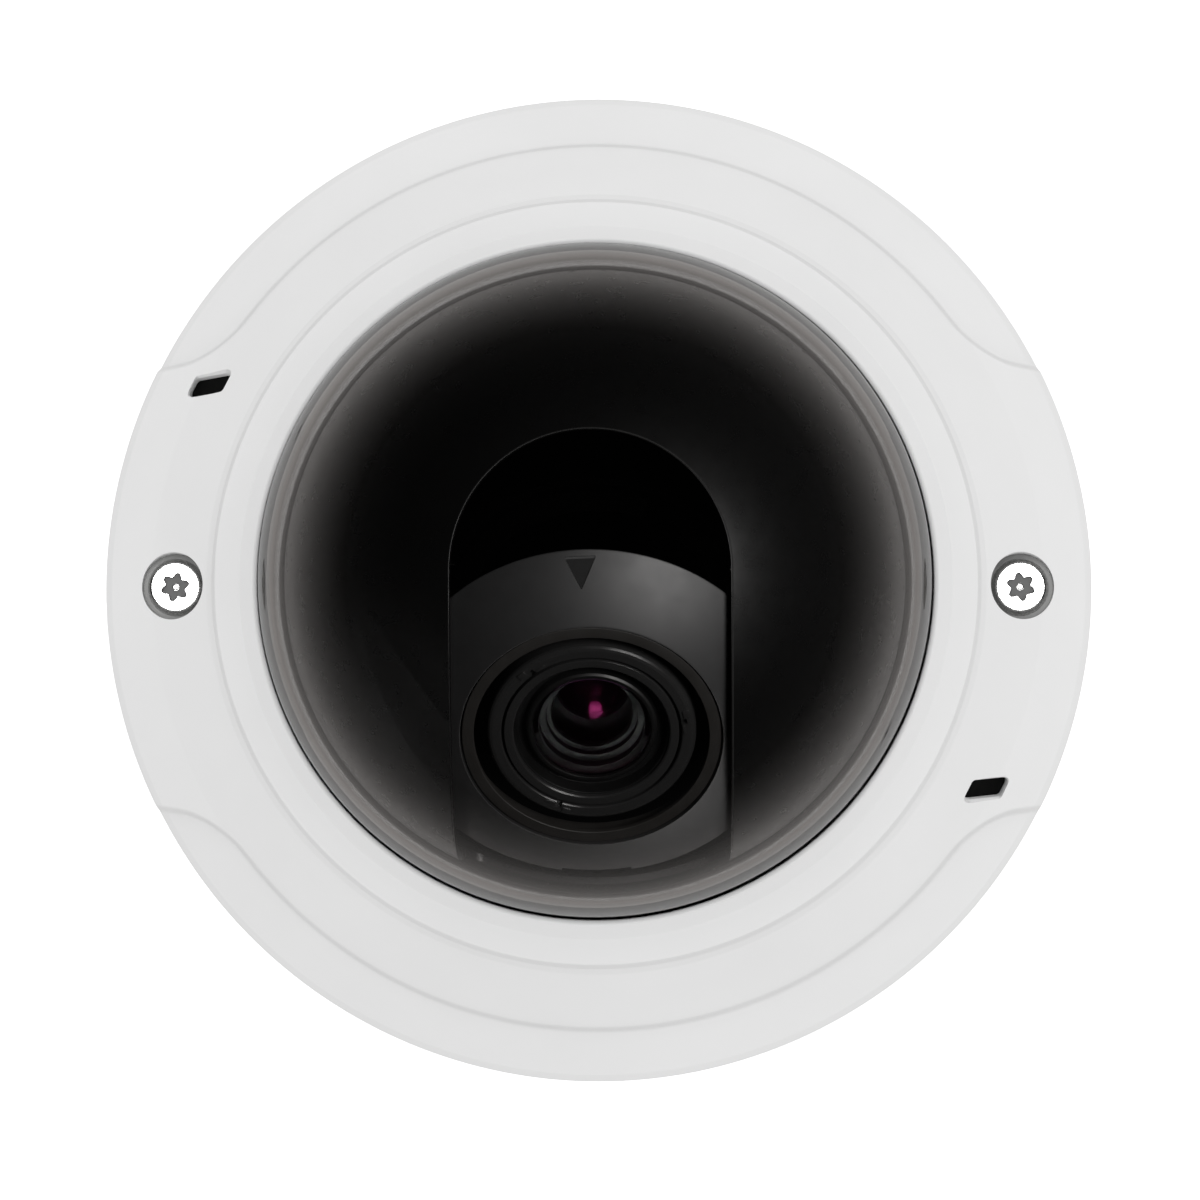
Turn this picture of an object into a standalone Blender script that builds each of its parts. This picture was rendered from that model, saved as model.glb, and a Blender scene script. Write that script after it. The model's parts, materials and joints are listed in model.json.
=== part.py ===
"""Fixed dome security camera, surface mounted, with a clear bubble and a manually aimed camera head.

The camera stands on its mounting face with the dome pointing up (+Z).  The lens leans toward -Y.
Every length below is in millimetres and is turned into metres as a shape is made.
"""

import math

import bmesh
import bpy
from mathutils import Matrix, Vector

MM = 0.001

# ---- driving dimensions ----
RIM_RADIUS = 87.5  # widest circle of the cover skirt
SKIRT_BOTTOM = 8.0
LOW_RIM_TOP = 16.0  # top of the upright rim between the wings
WING_RIM_TOP = 19.0  # top of the upright rim on the two wings
OUTER_STEP_RADIUS = 78.3
OUTER_STEP_BOTTOM = 27.0
BAND_RADIUS = 77.5  # foot of the raised conical band
BAND_BOTTOM = 31.0
INNER_STEP_RADIUS = 66.7
INNER_STEP_BOTTOM = 46.0
BEZEL_RADIUS = 61.6
BEZEL_HEIGHT = 52.0
OPENING_RADIUS = 58.6
OPENING_HEIGHT = 56.0
WING_HALF_WIDTH = 39.8  # at x = 72
WING_TAPER = 0.13  # how fast a wing narrows toward the rim

PIVOT_HEIGHT = 60.0  # pan, tilt and bubble share this centre
BUBBLE_OUTER = 58.0
BUBBLE_INNER = 55.2
LINER_OUTER = 53.2
LINER_INNER = 51.8
LINER_SLOT = 22.7  # half width of the slot
LINER_SLOT_FLOOR = 50.0
CAP_OUTER = 51.0
CAP_INNER = 49.2
CAP_HALF_ANGLE = 38.5
LENS_OPENING = 21.4

TILT_AT_REST = 35.5  # degrees from the dome axis, toward -Y
ROLL_AT_REST = 3.0

PLINTH_RADIUS = 86.0
PLINTH_TOP = 7.6
FLOOR_BOTTOM = 2.6
FLOOR_TOP = 5.6
WALL_INNER = 80.4
WALL_OUTER = 83.0
WALL_TOP = 13.0

COVER_SCREW_X = 75.0
COUNTERBORE = 5.9
SCREW_SEAT = 23.5
RETAINER_SCREW_RADIUS = 65.3
LAND_HEIGHT = 44.1  # underside of the bezel, where the bubble gasket sits

BOARD_RADIUS = 69.0
BOARD_BOTTOM = 13.5
BOARD_TOP = 15.1
ON_BOARD = 15.4  # components stand this high, clear of the board
PILLAR_RADIUS_AT = 56.3
PILLAR_ANGLES = (30.0, 150.0, 270.0)
BASE_SCREW_AT = 72.5
BASE_SCREW_ANGLES = (50.0, 130.0, 270.0)
CHASSIS_BOTTOM = 22.0
CHASSIS_TOP = 24.5
GROMMET_AT = (0.0, 36.0)
CONDUIT_AT = (-30.0, -12.0)
VENT_AT = (30.0, -30.0)
WALL_HOLE_AT = 46.0
WALL_HOLE_ANGLES = (0.0, 120.0, 240.0)
VENT_SLOT_AT = (68.7, -35.5)
VENT_SLOT_HALF = (3.9, 1.8)
VENT_SLOT_RISE = 9.0
VENT_SLOT_END = 62.0

# facets round a full turn
FINE = 40
MEDIUM = 24
COARSE = 14
TINY = 8

HALF_FACET = 180.0 / FINE
FACET_TURN = 7.0  # degrees that keep a hole's facets off the facet edges of the body it cuts

PARTS = "dome_cctv_camera"
CUTTERS = "cutters"


# ---- scene, collections and materials ----
def clear_scene():
    for obj in list(bpy.data.objects):
        bpy.data.objects.remove(obj, do_unlink=True)
    for group in list(bpy.data.collections):
        bpy.data.collections.remove(group)
    for name in (PARTS, CUTTERS):
        bpy.context.scene.collection.children.link(bpy.data.collections.new(name))


def make_material(name, colour, roughness, metallic=0.0, transmission=0.0):
    material = bpy.data.materials.new(name)
    material.use_nodes = True
    shader = material.node_tree.nodes["Principled BSDF"]
    shader.inputs["Base Color"].default_value = (*colour, 1.0)
    shader.inputs["Roughness"].default_value = roughness
    shader.inputs["Metallic"].default_value = metallic
    shader.inputs["Transmission Weight"].default_value = transmission
    material.diffuse_color = (*colour, 1.0)
    return material


def make_materials():
    return {
        "white_paint": make_material("white_powder_coat", (0.82, 0.82, 0.80), 0.5),
        "clear": make_material("clear_polycarbonate", (0.95, 0.97, 0.97), 0.03, 0.0, 1.0),
        "black_plastic": make_material("matt_black_plastic", (0.02, 0.02, 0.02), 0.7),
        "grey_plastic": make_material("dark_grey_plastic", (0.07, 0.07, 0.075), 0.55),
        "trim": make_material("satin_black_trim", (0.03, 0.03, 0.028), 0.35),
        "steel": make_material("stainless_steel", (0.66, 0.66, 0.64), 0.25, 1.0),
        "zinc": make_material("zinc_plated_steel", (0.55, 0.56, 0.58), 0.4, 1.0),
        "rubber": make_material("black_rubber", (0.02, 0.02, 0.02), 0.85),
        "nylon": make_material("grey_nylon", (0.45, 0.45, 0.44), 0.6),
        "board": make_material("green_circuit_board", (0.02, 0.16, 0.07), 0.5),
        "chip": make_material("black_epoxy", (0.03, 0.03, 0.03), 0.5),
        "aluminium": make_material("plain_aluminium", (0.7, 0.7, 0.71), 0.4, 1.0),
        "glass": make_material("coated_glass", (0.5, 0.3, 0.6), 0.02, 0.0, 0.9),
        "membrane": make_material("white_membrane", (0.8, 0.8, 0.8), 0.9),
    }


# ---- frames that hold the moving pieces ----
def make_frame(name, location=(0, 0, 0), rotation=(0, 0, 0), parent=None):
    frame = bpy.data.objects.new(name, None)
    frame.location = Vector(location) * MM
    frame.rotation_euler = [math.radians(angle) for angle in rotation]
    frame.parent = parent
    bpy.data.collections[PARTS].objects.link(frame)
    return frame


def add_object(name, mesh, material, parent, cutter):
    obj = bpy.data.objects.new(name, mesh)
    if material is not None:
        mesh.materials.append(material)
    obj.parent = parent
    if cutter:
        obj.hide_render = True
        obj.display_type = "WIRE"
    bpy.data.collections[CUTTERS if cutter else PARTS].objects.link(obj)
    return obj


def place(obj, location=(0, 0, 0), rotation=(0, 0, 0)):
    obj.location = Vector(location) * MM
    obj.rotation_euler = [math.radians(angle) for angle in rotation]
    return obj


# ---- shapes ----
def arc(radius, centre_height, start, stop, count):
    """Points on a circle about the axis, angles in degrees from +Z."""
    angles = [math.radians(start + (stop - start) * i / (count - 1)) for i in range(count)]
    return [(radius * math.sin(a), centre_height + radius * math.cos(a)) for a in angles]


def turned(name, profile, material=None, parent=None, steps=MEDIUM, cutter=False):
    """A body of revolution about Z.  A profile that starts and ends on the axis stays open."""
    on_axis = profile[0][0] == 0.0 and profile[-1][0] == 0.0
    area = sum(a[0] * b[1] - b[0] * a[1] for a, b in zip(profile, profile[1:] + profile[:1]))
    if area > 0:
        profile = profile[::-1]
    mesh = bpy.data.meshes.new(name)
    edges = [(i, i + 1) for i in range(len(profile) - 1)]
    if not on_axis:
        edges.append((len(profile) - 1, 0))
    mesh.from_pydata([(r * MM, 0, z * MM) for r, z in profile], edges, [])
    obj = add_object(name, mesh, material, parent, cutter)
    screw = obj.modifiers.new("turn", "SCREW")
    screw.axis = "Z"
    screw.steps = steps
    screw.render_steps = steps
    screw.use_merge_vertices = True
    screw.merge_threshold = 0.00001
    screw.use_smooth_shade = True
    return obj


def ring(name, inner, outer, bottom, top, material=None, parent=None, steps=MEDIUM, cutter=False):
    profile = [(outer, top), (outer, bottom), (inner, bottom), (inner, top)]
    return turned(name, profile, material, parent, steps, cutter)


def rod(name, radius, bottom, top, material=None, parent=None, steps=COARSE, cutter=False):
    mesh = bpy.data.meshes.new(name)
    shape = bmesh.new()
    height = (top - bottom) * MM
    bmesh.ops.create_cone(
        shape, cap_ends=True, segments=steps, radius1=radius * MM, radius2=radius * MM, depth=height
    )
    bmesh.ops.translate(shape, verts=shape.verts, vec=(0, 0, (bottom + top) / 2 * MM))
    shape.to_mesh(mesh)
    shape.free()
    return add_object(name, mesh, material, parent, cutter)


def block(name, size, centre=(0, 0, 0), material=None, parent=None, cutter=False, bevel=0.0):
    mesh = bpy.data.meshes.new(name)
    shape = bmesh.new()
    bmesh.ops.create_cube(shape, size=1.0)
    bmesh.ops.scale(shape, vec=Vector(size) * MM, verts=shape.verts)
    bmesh.ops.translate(shape, verts=shape.verts, vec=Vector(centre) * MM)
    shape.to_mesh(mesh)
    shape.free()
    obj = add_object(name, mesh, material, parent, cutter)
    if bevel:
        edge = obj.modifiers.new("edge", "BEVEL")
        edge.width = bevel * MM
        edge.segments = 1
    return obj


def prism(name, outline, bottom, top, material=None, parent=None, cutter=False):
    """An upright solid over a flat outline, made from a filled 2D curve."""
    curve = bpy.data.curves.new(name, "CURVE")
    curve.dimensions = "2D"
    curve.fill_mode = "BOTH"
    curve.extrude = (top - bottom) / 2 * MM
    spline = curve.splines.new("POLY")
    spline.points.add(len(outline) - 1)
    for point, (x, y) in zip(spline.points, outline):
        point.co = (x * MM, y * MM, 0, 1)
    spline.use_cyclic_u = True
    guide = bpy.data.objects.new(name + "_guide", curve)
    bpy.context.scene.collection.objects.link(guide)
    bpy.context.view_layer.update()
    graph = bpy.context.evaluated_depsgraph_get()
    mesh = bpy.data.meshes.new_from_object(guide.evaluated_get(graph))
    bpy.data.objects.remove(guide, do_unlink=True)
    shape = bmesh.new()
    shape.from_mesh(mesh)
    bmesh.ops.remove_doubles(shape, verts=shape.verts, dist=0.00001)
    bmesh.ops.recalc_face_normals(shape, faces=shape.faces)
    bmesh.ops.translate(shape, verts=shape.verts, vec=(0, 0, (bottom + top) / 2 * MM))
    shape.to_mesh(mesh)
    shape.free()
    mesh.name = name
    return add_object(name, mesh, material, parent, cutter)


def combine(obj, other, operation):
    step = obj.modifiers.new(operation.lower() + "_" + other.name, "BOOLEAN")
    step.operation = operation
    step.object = other


def cut(obj, *others):
    for other in others:
        combine(obj, other, "DIFFERENCE")


def join(obj, *others):
    for other in others:
        combine(obj, other, "UNION")


def polar(radius, degrees):
    return (radius * math.cos(math.radians(degrees)), radius * math.sin(math.radians(degrees)))


def hole(obj, name, radius, bottom, top, at, steps=TINY):
    """A round hole along Z, turned so that its corners stay off the edges of the body."""
    tool = rod(name, radius, bottom, top, steps=steps, parent=obj.parent, cutter=True)
    cut(obj, place(tool, (*at, 0), (0, 0, FACET_TURN)))


def post(obj, name, radius, bottom, top, at, steps=COARSE):
    """A round pillar along Z, joined to the body."""
    tool = rod(name, radius, bottom, top, steps=steps, parent=obj.parent, cutter=True)
    join(obj, place(tool, (*at, 0), (0, 0, FACET_TURN)))


def headed_screw(name, head, shank, tip, seat, top, at, material, parent, socket=0.0, steps=TINY):
    """A screw pointing down: the shank runs from tip to seat, and the head from seat to top."""
    profile = [(0.0, top), (head * 0.8, top), (head, top - (top - seat) * 0.4), (head, seat)]
    if socket:
        floor = seat + (top - seat) * 0.45
        profile = [(0.0, floor), (socket, floor), (socket, top)] + profile[1:]
    profile += [(shank, seat), (shank, tip), (0.0, tip)]
    return place(turned(name, profile, material, parent, steps), (*at, 0))


# ---- base, which is fixed to the ceiling or wall ----
def make_mounting_plate(mats, frame):
    plate = ring("mounting_plate", 14.0, 77.2, 0.0, 2.2, mats["zinc"], frame, MEDIUM)
    hole(plate, "plate_grommet_hole", 13.0, -1, 4, GROMMET_AT, COARSE)
    hole(plate, "plate_conduit_hole", 13.5, -1, 4, CONDUIT_AT, COARSE)
    hole(plate, "plate_vent_hole", 7.0, -1, 4, VENT_AT)
    for index, angle in enumerate(WALL_HOLE_ANGLES, 1):
        hole(plate, f"wall_hole_{index}", 2.6, -1, 4, polar(WALL_HOLE_AT, angle))
    for index, angle in enumerate(BASE_SCREW_ANGLES, 1):
        hole(plate, f"plate_thread_{index}", 2.6, -1, 4, polar(BASE_SCREW_AT, angle))


def make_base_housing(mats, frame):
    profile = [
        (0.0, FLOOR_TOP),
        (WALL_INNER, FLOOR_TOP),
        (WALL_INNER, WALL_TOP),
        (WALL_OUTER, WALL_TOP),
        (WALL_OUTER, PLINTH_TOP),
        (PLINTH_RADIUS - 0.8, PLINTH_TOP),
        (PLINTH_RADIUS, PLINTH_TOP - 0.8),
        (PLINTH_RADIUS, 0.0),
        (84.3, 0.0),
        (84.3, 2.0),
        (79.7, 2.0),
        (79.7, 0.0),
        (77.8, 0.0),
        (77.8, FLOOR_BOTTOM),
        (0.0, FLOOR_BOTTOM),
    ]
    base = turned("base_housing", profile, mats["white_paint"], frame, FINE)
    for side in (-1, 1):
        at = (side * COVER_SCREW_X, 0.0)
        post(base, f"cover_screw_boss_{side}", 5.0, 5.0, 19.9, at)
        hole(base, f"cover_screw_thread_{side}", 2.8, 7.0, 25.0, at)
    for index, angle in enumerate(PILLAR_ANGLES, 1):
        at = polar(PILLAR_RADIUS_AT, angle)
        post(base, f"board_pillar_{index}", 4.0, 5.0, 13.2, at, TINY)
        hole(base, f"board_pillar_thread_{index}", 1.7, 6.8, 20.0, at)
    for index, angle in enumerate(BASE_SCREW_ANGLES, 1):
        hole(base, f"base_screw_hole_{index}", 2.6, 1.0, 9.0, polar(BASE_SCREW_AT, angle))
    for index, angle in enumerate(WALL_HOLE_ANGLES, 1):
        hole(base, f"base_wall_hole_{index}", 5.0, 1.0, 9.0, polar(WALL_HOLE_AT, angle))
    hole(base, "grommet_hole", 9.6, 1.0, 9.0, GROMMET_AT, COARSE)
    post(base, "conduit_boss", 13.0, 5.0, 9.5, CONDUIT_AT)
    hole(base, "conduit_hole", 10.3, 1.0, 12.0, CONDUIT_AT, COARSE)
    hole(base, "vent_hole", 3.2, 1.0, 9.0, VENT_AT)


def make_base_fittings(mats, frame):
    ring("rear_gasket", 80.0, 84.0, 0.1, 1.7, mats["rubber"], frame, FINE)
    ring("cover_seal", 80.7, 82.7, 13.3, 15.7, mats["rubber"], frame, FINE)
    grommet = [
        (0.0, 5.0),
        (6.5, 5.0),
        (6.5, 8.0),
        (11.5, 8.0),
        (11.5, 5.95),
        (9.2, 5.95),
        (9.2, 2.25),
        (11.5, 2.25),
        (11.5, 0.8),
        (6.5, 0.8),
        (6.5, 3.5),
        (0.0, 3.5),
    ]
    place(turned("cable_grommet", grommet, mats["rubber"], frame, COARSE), (*GROMMET_AT, 0))
    plug = [(0.0, 12.9), (12.2, 12.9), (12.6, 12.5), (12.6, 10.9), (9.9, 10.9), (9.9, 2.9), (0.0, 2.9)]
    plug = place(turned("conduit_plug", plug, mats["black_plastic"], frame, COARSE), (*CONDUIT_AT, 0))
    slot = block("conduit_plug_slot", (16, 2, 2), (0, 0, 13), parent=frame, cutter=True)
    cut(plug, place(slot, (*CONDUIT_AT, 0)))
    seal = ring("conduit_plug_seal", 10.25, 12.4, 9.8, 10.6, mats["rubber"], frame, COARSE)
    place(seal, (*CONDUIT_AT, 0))
    vent = [(0.0, 8.2), (5.4, 8.2), (6.0, 7.6), (6.0, 5.9), (2.8, 5.9), (2.8, 2.9), (0.0, 2.9)]
    place(turned("vent_membrane", vent, mats["membrane"], frame, TINY), (*VENT_AT, 0))
    for index, angle in enumerate(BASE_SCREW_ANGLES, 1):
        at = polar(BASE_SCREW_AT, angle)
        headed_screw(f"base_screw_{index}", 3.8, 2.2, 0.4, 5.9, 8.4, at, mats["zinc"], frame, 1.6)


# ---- electronics on the base ----
def on_board(name, size, radius, degrees, material, frame, turn=0.0, lift=0.0):
    """A component block standing on the board, its local X pointing away from the centre."""
    centre = (0, 0, ON_BOARD + lift + size[2] / 2)
    item = block(name, size, centre, material, frame)
    return place(item, (*polar(radius, degrees), 0), (0, 0, degrees + turn))


def socket_in(item, name, size, centre):
    """A pocket cut into a component, given in the component's own axes."""
    tool = block(name, size, centre, parent=item.parent, cutter=True)
    tool.location = item.location
    tool.rotation_euler = item.rotation_euler
    cut(item, tool)


def make_electronics(mats, frame):
    board = turned(
        "main_board",
        [(0.0, BOARD_TOP), (BOARD_RADIUS, BOARD_TOP), (BOARD_RADIUS, BOARD_BOTTOM), (0.0, BOARD_BOTTOM)],
        mats["board"],
        frame,
        MEDIUM,
    )
    for index, angle in enumerate(PILLAR_ANGLES, 1):
        hole(board, f"board_hole_{index}", 1.7, 12.0, 17.0, polar(PILLAR_RADIUS_AT, angle))

    block("processor_chip", (24, 24, 1.6), (0, 0, ON_BOARD + 0.8), mats["chip"], frame)
    sink = block("heat_sink", (28, 28, 4.3), (0, 0, 19.45), mats["aluminium"], frame)
    for index, x in enumerate((-9.0, -3.0, 3.0, 9.0), 1):
        groove = block(f"sink_groove_{index}", (3, 30, 3), (x, 0, 20.6), parent=frame, cutter=True)
        cut(sink, groove)

    jack = on_board("ethernet_jack", (16, 21, 13.5), 63.6, 90, mats["nylon"], frame)
    jack_middle = ON_BOARD + 13.5 / 2
    socket_in(jack, "jack_port", (11.8, 18, 8.2), (0, -3, jack_middle + 0.6))
    socket_in(jack, "jack_key", (6.2, 18, 3.0), (0, -3, jack_middle - 4.0))

    terminals = on_board("io_terminal_block", (8, 16, 9), 62.5, 48, mats["black_plastic"], frame)
    for index, y in enumerate((-5.4, -1.8, 1.8, 5.4), 1):
        socket_in(terminals, f"wire_entry_{index}", (5, 2.4, 2.4), (3.5, y, ON_BOARD + 3.2))

    for name, angle in (("audio_jack_in", 124), ("audio_jack_out", 140)):
        jack = on_board(name, (9, 6.4, 5.4), 62.5, angle, mats["black_plastic"], frame)
        tool = rod(name + "_bore", 1.8, -1.0, 8.0, steps=TINY, parent=frame, cutter=True)
        tool.data.transform(Matrix.Rotation(math.radians(90), 4, "Y"))
        x, y = polar(62.5, angle)
        place(tool, (x, y, ON_BOARD + 2.7), (0, 0, angle))
        cut(jack, tool)

    slot = on_board("memory_card_slot", (15, 14.6, 2.4), 60.5, 235, mats["zinc"], frame)
    socket_in(slot, "card_pocket", (14, 11.8, 1.3), (1.2, 0, ON_BOARD + 1.2))
    on_board("memory_card", (14.2, 11.0, 0.7), 62.6, 235, mats["chip"], frame, lift=0.85)

    switch = on_board("button_switch", (6.2, 6.2, 4.2), 62.5, 285, mats["chip"], frame)
    hole(switch, "switch_well", 2.0, ON_BOARD + 2.0, ON_BOARD + 6.0, polar(62.5, 285))
    led = [(0.0, 19.2), (0.9, 18.9), (1.5, 18.0), (1.5, 16.4), (2.0, 16.4), (2.0, ON_BOARD), (0.0, ON_BOARD)]
    place(turned("status_led", led, mats["clear"], frame, TINY), (*polar(62.5, 302), 0))


def make_button(mats, frame):
    cap = [(0.0, 21.9), (1.2, 21.9), (1.6, 21.5), (1.6, 18.4), (0.0, 18.4)]
    turned("control_button", cap, mats["nylon"], frame, TINY)


def make_chassis(mats, frame):
    profile = [
        (37.5, 28.0),
        (37.5, CHASSIS_TOP),
        (52.8, CHASSIS_TOP),
        (52.8, CHASSIS_BOTTOM),
        (14.0, CHASSIS_BOTTOM),
        (14.0, CHASSIS_TOP),
        (35.5, CHASSIS_TOP),
        (35.5, 28.0),
    ]
    chassis = turned("chassis_plate", profile, mats["black_plastic"], frame, MEDIUM)
    for index, angle in enumerate(PILLAR_ANGLES, 1):
        at = polar(PILLAR_RADIUS_AT, angle)
        post(chassis, f"chassis_leg_{index}", 5.2, ON_BOARD, CHASSIS_TOP - 0.4, at, TINY)
        hole(chassis, f"chassis_hole_{index}", 1.8, 12.0, 30.0, at)
        seat = CHASSIS_TOP - 0.1
        name = f"chassis_screw_{index}"
        headed_screw(name, 2.4, 1.4, 7.2, seat, seat + 1.8, at, mats["zinc"], frame, 1.1)


# ---- cover, which lifts off the base ----
def wing_outline(inset):
    """The straight-sided strip of one wing, seen from above."""
    near, far = 60.0, 95.0
    half_near = WING_HALF_WIDTH + (72.0 - near) * WING_TAPER - inset
    half_far = WING_HALF_WIDTH + (72.0 - far) * WING_TAPER - inset
    return [(near, -half_near), (far, -half_far), (far, half_far), (near, half_near)]


def make_skirt_tool(name, profile, inset, frame):
    """A turned body that is left out along the two wing strips, so that it cuts only beside them."""
    tool = turned(name, profile, parent=frame, steps=FINE, cutter=True)
    for side in (0, 1):
        strip = prism(f"{name}_strip_{side}", wing_outline(inset), 0, 60, parent=frame, cutter=True)
        cut(tool, place(strip, rotation=(0, 0, 180 * side)))
    return place(tool, rotation=(0, 0, HALF_FACET))


def make_cover_cavity(frame):
    """The hollow of the cover, with the ribs and bosses left standing in it."""
    profile = [
        (0.0, LAND_HEIGHT),
        (64.9, LAND_HEIGHT),
        (75.0, 30.1),
        (84.4, 19.6),
        (85.0, 18.6),
        (85.0, 5.0),
        (0.0, 5.0),
    ]
    cavity = turned("cover_cavity", profile, parent=frame, steps=FINE, cutter=True)
    filler = [
        (75.3, 40.0),
        (90.0, 40.0),
        (90.0, 15.4),
        (85.2, 15.4),
        (84.5, 16.2),
        (75.9, 25.9),
        (75.3, 27.5),
    ]
    cut(cavity, make_skirt_tool("skirt_wall", filler, 2.0, frame))
    rib = ring("seal_rib", 80.5, 82.9, 16.0, 45.0, parent=frame, steps=FINE, cutter=True)
    cut(cavity, place(rib, rotation=(0, 0, FACET_TURN)))
    for side in (-1, 1):
        tube = rod(f"screw_tube_{side}", 7.4, 20.3, 60.0, parent=frame, cutter=True)
        cut(cavity, place(tube, (side * COVER_SCREW_X, 0, 0), (0, 0, FACET_TURN)))
    for index in range(4):
        boss = rod(f"retainer_boss_{index}", 2.3, 39.2, 60.0, steps=TINY, parent=frame, cutter=True)
        cut(cavity, place(boss, (*polar(RETAINER_SCREW_RADIUS, 45 + 90 * index), 0)))
    return cavity


def vent_outline(scale_x, scale_y):
    """A parallelogram with long sides along the wing edge and ends along the rim."""
    half_x, half_y = VENT_SLOT_HALF[0] * scale_x, VENT_SLOT_HALF[1] * scale_y
    lean = half_y / math.tan(math.radians(VENT_SLOT_END))
    rise = math.tan(math.radians(VENT_SLOT_RISE))
    corners = [(-1, -1), (1, -1), (1, 1), (-1, 1)]
    points = [(u * (half_x - lean) + v * lean, v * half_y) for u, v in corners]
    return [(x, y + rise * x) for x, y in points]


def make_cover_shell(mats, frame):
    profile = [
        (OPENING_RADIUS, OPENING_HEIGHT),
        (OPENING_RADIUS + 0.8, OPENING_HEIGHT),
        (BEZEL_RADIUS, BEZEL_HEIGHT),
        (INNER_STEP_RADIUS - 0.5, INNER_STEP_BOTTOM + 2.5),
        (INNER_STEP_RADIUS, INNER_STEP_BOTTOM),
        (BAND_RADIUS - 0.2, BAND_BOTTOM + 0.3),
        (RIM_RADIUS - 1.2, WING_RIM_TOP + 2.2),
        (RIM_RADIUS, WING_RIM_TOP),
        (RIM_RADIUS, SKIRT_BOTTOM),
        (OPENING_RADIUS, SKIRT_BOTTOM),
    ]
    shell = turned("cover_shell", profile, mats["white_paint"], frame, FINE)
    above_skirt = [
        (BAND_RADIUS, 40.0),
        (90.0, 40.0),
        (90.0, LOW_RIM_TOP - 0.2),
        (RIM_RADIUS + 0.1, LOW_RIM_TOP - 0.2),
        (RIM_RADIUS - 1.1, LOW_RIM_TOP + 1.8),
        (OUTER_STEP_RADIUS, OUTER_STEP_BOTTOM),
        (BAND_RADIUS, BAND_BOTTOM - 0.8),
    ]
    cut(shell, make_skirt_tool("above_skirt", above_skirt, 0.0, frame))
    cut(shell, make_cover_cavity(frame))
    for side in (-1, 1):
        at = (side * COVER_SCREW_X, 0.0)
        hole(shell, f"counterbore_{side}", COUNTERBORE, SCREW_SEAT, 60.0, at, 24)
        hole(shell, f"cover_screw_hole_{side}", 2.8, 15.0, 30.0, at)
        slot_at = (side * VENT_SLOT_AT[0], side * VENT_SLOT_AT[1], 0)
        slot = prism(f"vent_slot_{side}", vent_outline(1, 1), 10, 60, parent=frame, cutter=True)
        cut(shell, place(slot, slot_at))
    for index in range(4):
        at = polar(RETAINER_SCREW_RADIUS, 45 + 90 * index)
        hole(shell, f"retainer_thread_{index}", 1.4, 35.0, 43.4, at)


def make_vent_mesh(name, side, mats, frame):
    """A thin guard lying against the inside of the wing, over the vent slot."""
    slope = math.atan2(12.1, 10.8)
    radius = math.hypot(*VENT_SLOT_AT)
    out = Vector((side * VENT_SLOT_AT[0], side * VENT_SLOT_AT[1], 0)) / radius
    normal = out * math.sin(slope) + Vector((0, 0, math.cos(slope)))
    rise = math.radians(VENT_SLOT_RISE)
    along = Vector((math.cos(rise), math.sin(rise), 0))
    along = (along - normal * along.dot(normal)).normalized()
    across = normal.cross(along)
    centre = out * radius + Vector((0, 0, 31.6 - (radius - 73.6) * math.tan(slope)))
    centre -= normal * 1.2
    size = (8.6, 3.4, 0.8)
    mesh = block(name, size, material=mats["black_plastic"], parent=frame)
    turn = Matrix((along, across, normal)).transposed()
    mesh.rotation_euler = turn.to_euler()
    mesh.location = centre * MM


def make_bubble(mats, frame):
    profile = arc(BUBBLE_OUTER, PIVOT_HEIGHT, 0, 90, 9)
    profile += [(BUBBLE_OUTER, 41.7), (62.6, 41.7), (62.6, 39.2), (BUBBLE_INNER, 39.2)]
    profile += arc(BUBBLE_INNER, PIVOT_HEIGHT, 90, 0, 8)
    profile[0] = (0.0, PIVOT_HEIGHT + BUBBLE_OUTER)
    profile[-1] = (0.0, PIVOT_HEIGHT + BUBBLE_INNER)
    turned("dome_bubble", profile, mats["clear"], frame, FINE)
    ring("bubble_gasket", 59.0, 62.4, 42.0, 43.8, mats["rubber"], frame, MEDIUM)
    retainer = ring("bubble_retainer", 55.6, 67.1, 36.6, 38.9, mats["zinc"], frame, MEDIUM)
    for index in range(4):
        at = polar(RETAINER_SCREW_RADIUS, 45 + 90 * index)
        hole(retainer, f"retainer_hole_{index}", 1.6, 30.0, 39.05, at, 8)
        name = f"retainer_screw_{index + 1}"
        screw = headed_screw(name, 2.3, 1.1, -6.2, 0.0, 1.7, (0, 0), mats["zinc"], frame, 1.0)
        place(screw, (*at, 36.3), (180, 0, 0))


def make_cover_screws(mats, frame):
    for name, side in (("left", -1), ("right", 1)):
        at = (side * COVER_SCREW_X, 0.0)
        washer = ring(f"screw_washer_{name}", 2.85, 5.5, 23.8, 24.7, mats["nylon"], frame, COARSE)
        place(washer, (*at, 0))
        profile = [
            (0.0, 28.0),
            (0.7, 28.0),
            (0.7, 26.6),
            (2.7, 26.6),
            (2.7, 28.4),
            (3.4, 28.3),
            (4.2, 27.6),
            (4.52, 26.6),
            (4.52, 25.0),
            (2.4, 25.0),
            (2.4, 8.0),
            (0.0, 8.0),
        ]
        place(turned(f"cover_screw_{name}", profile, mats["steel"], frame, 24), (*at, 0))


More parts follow.
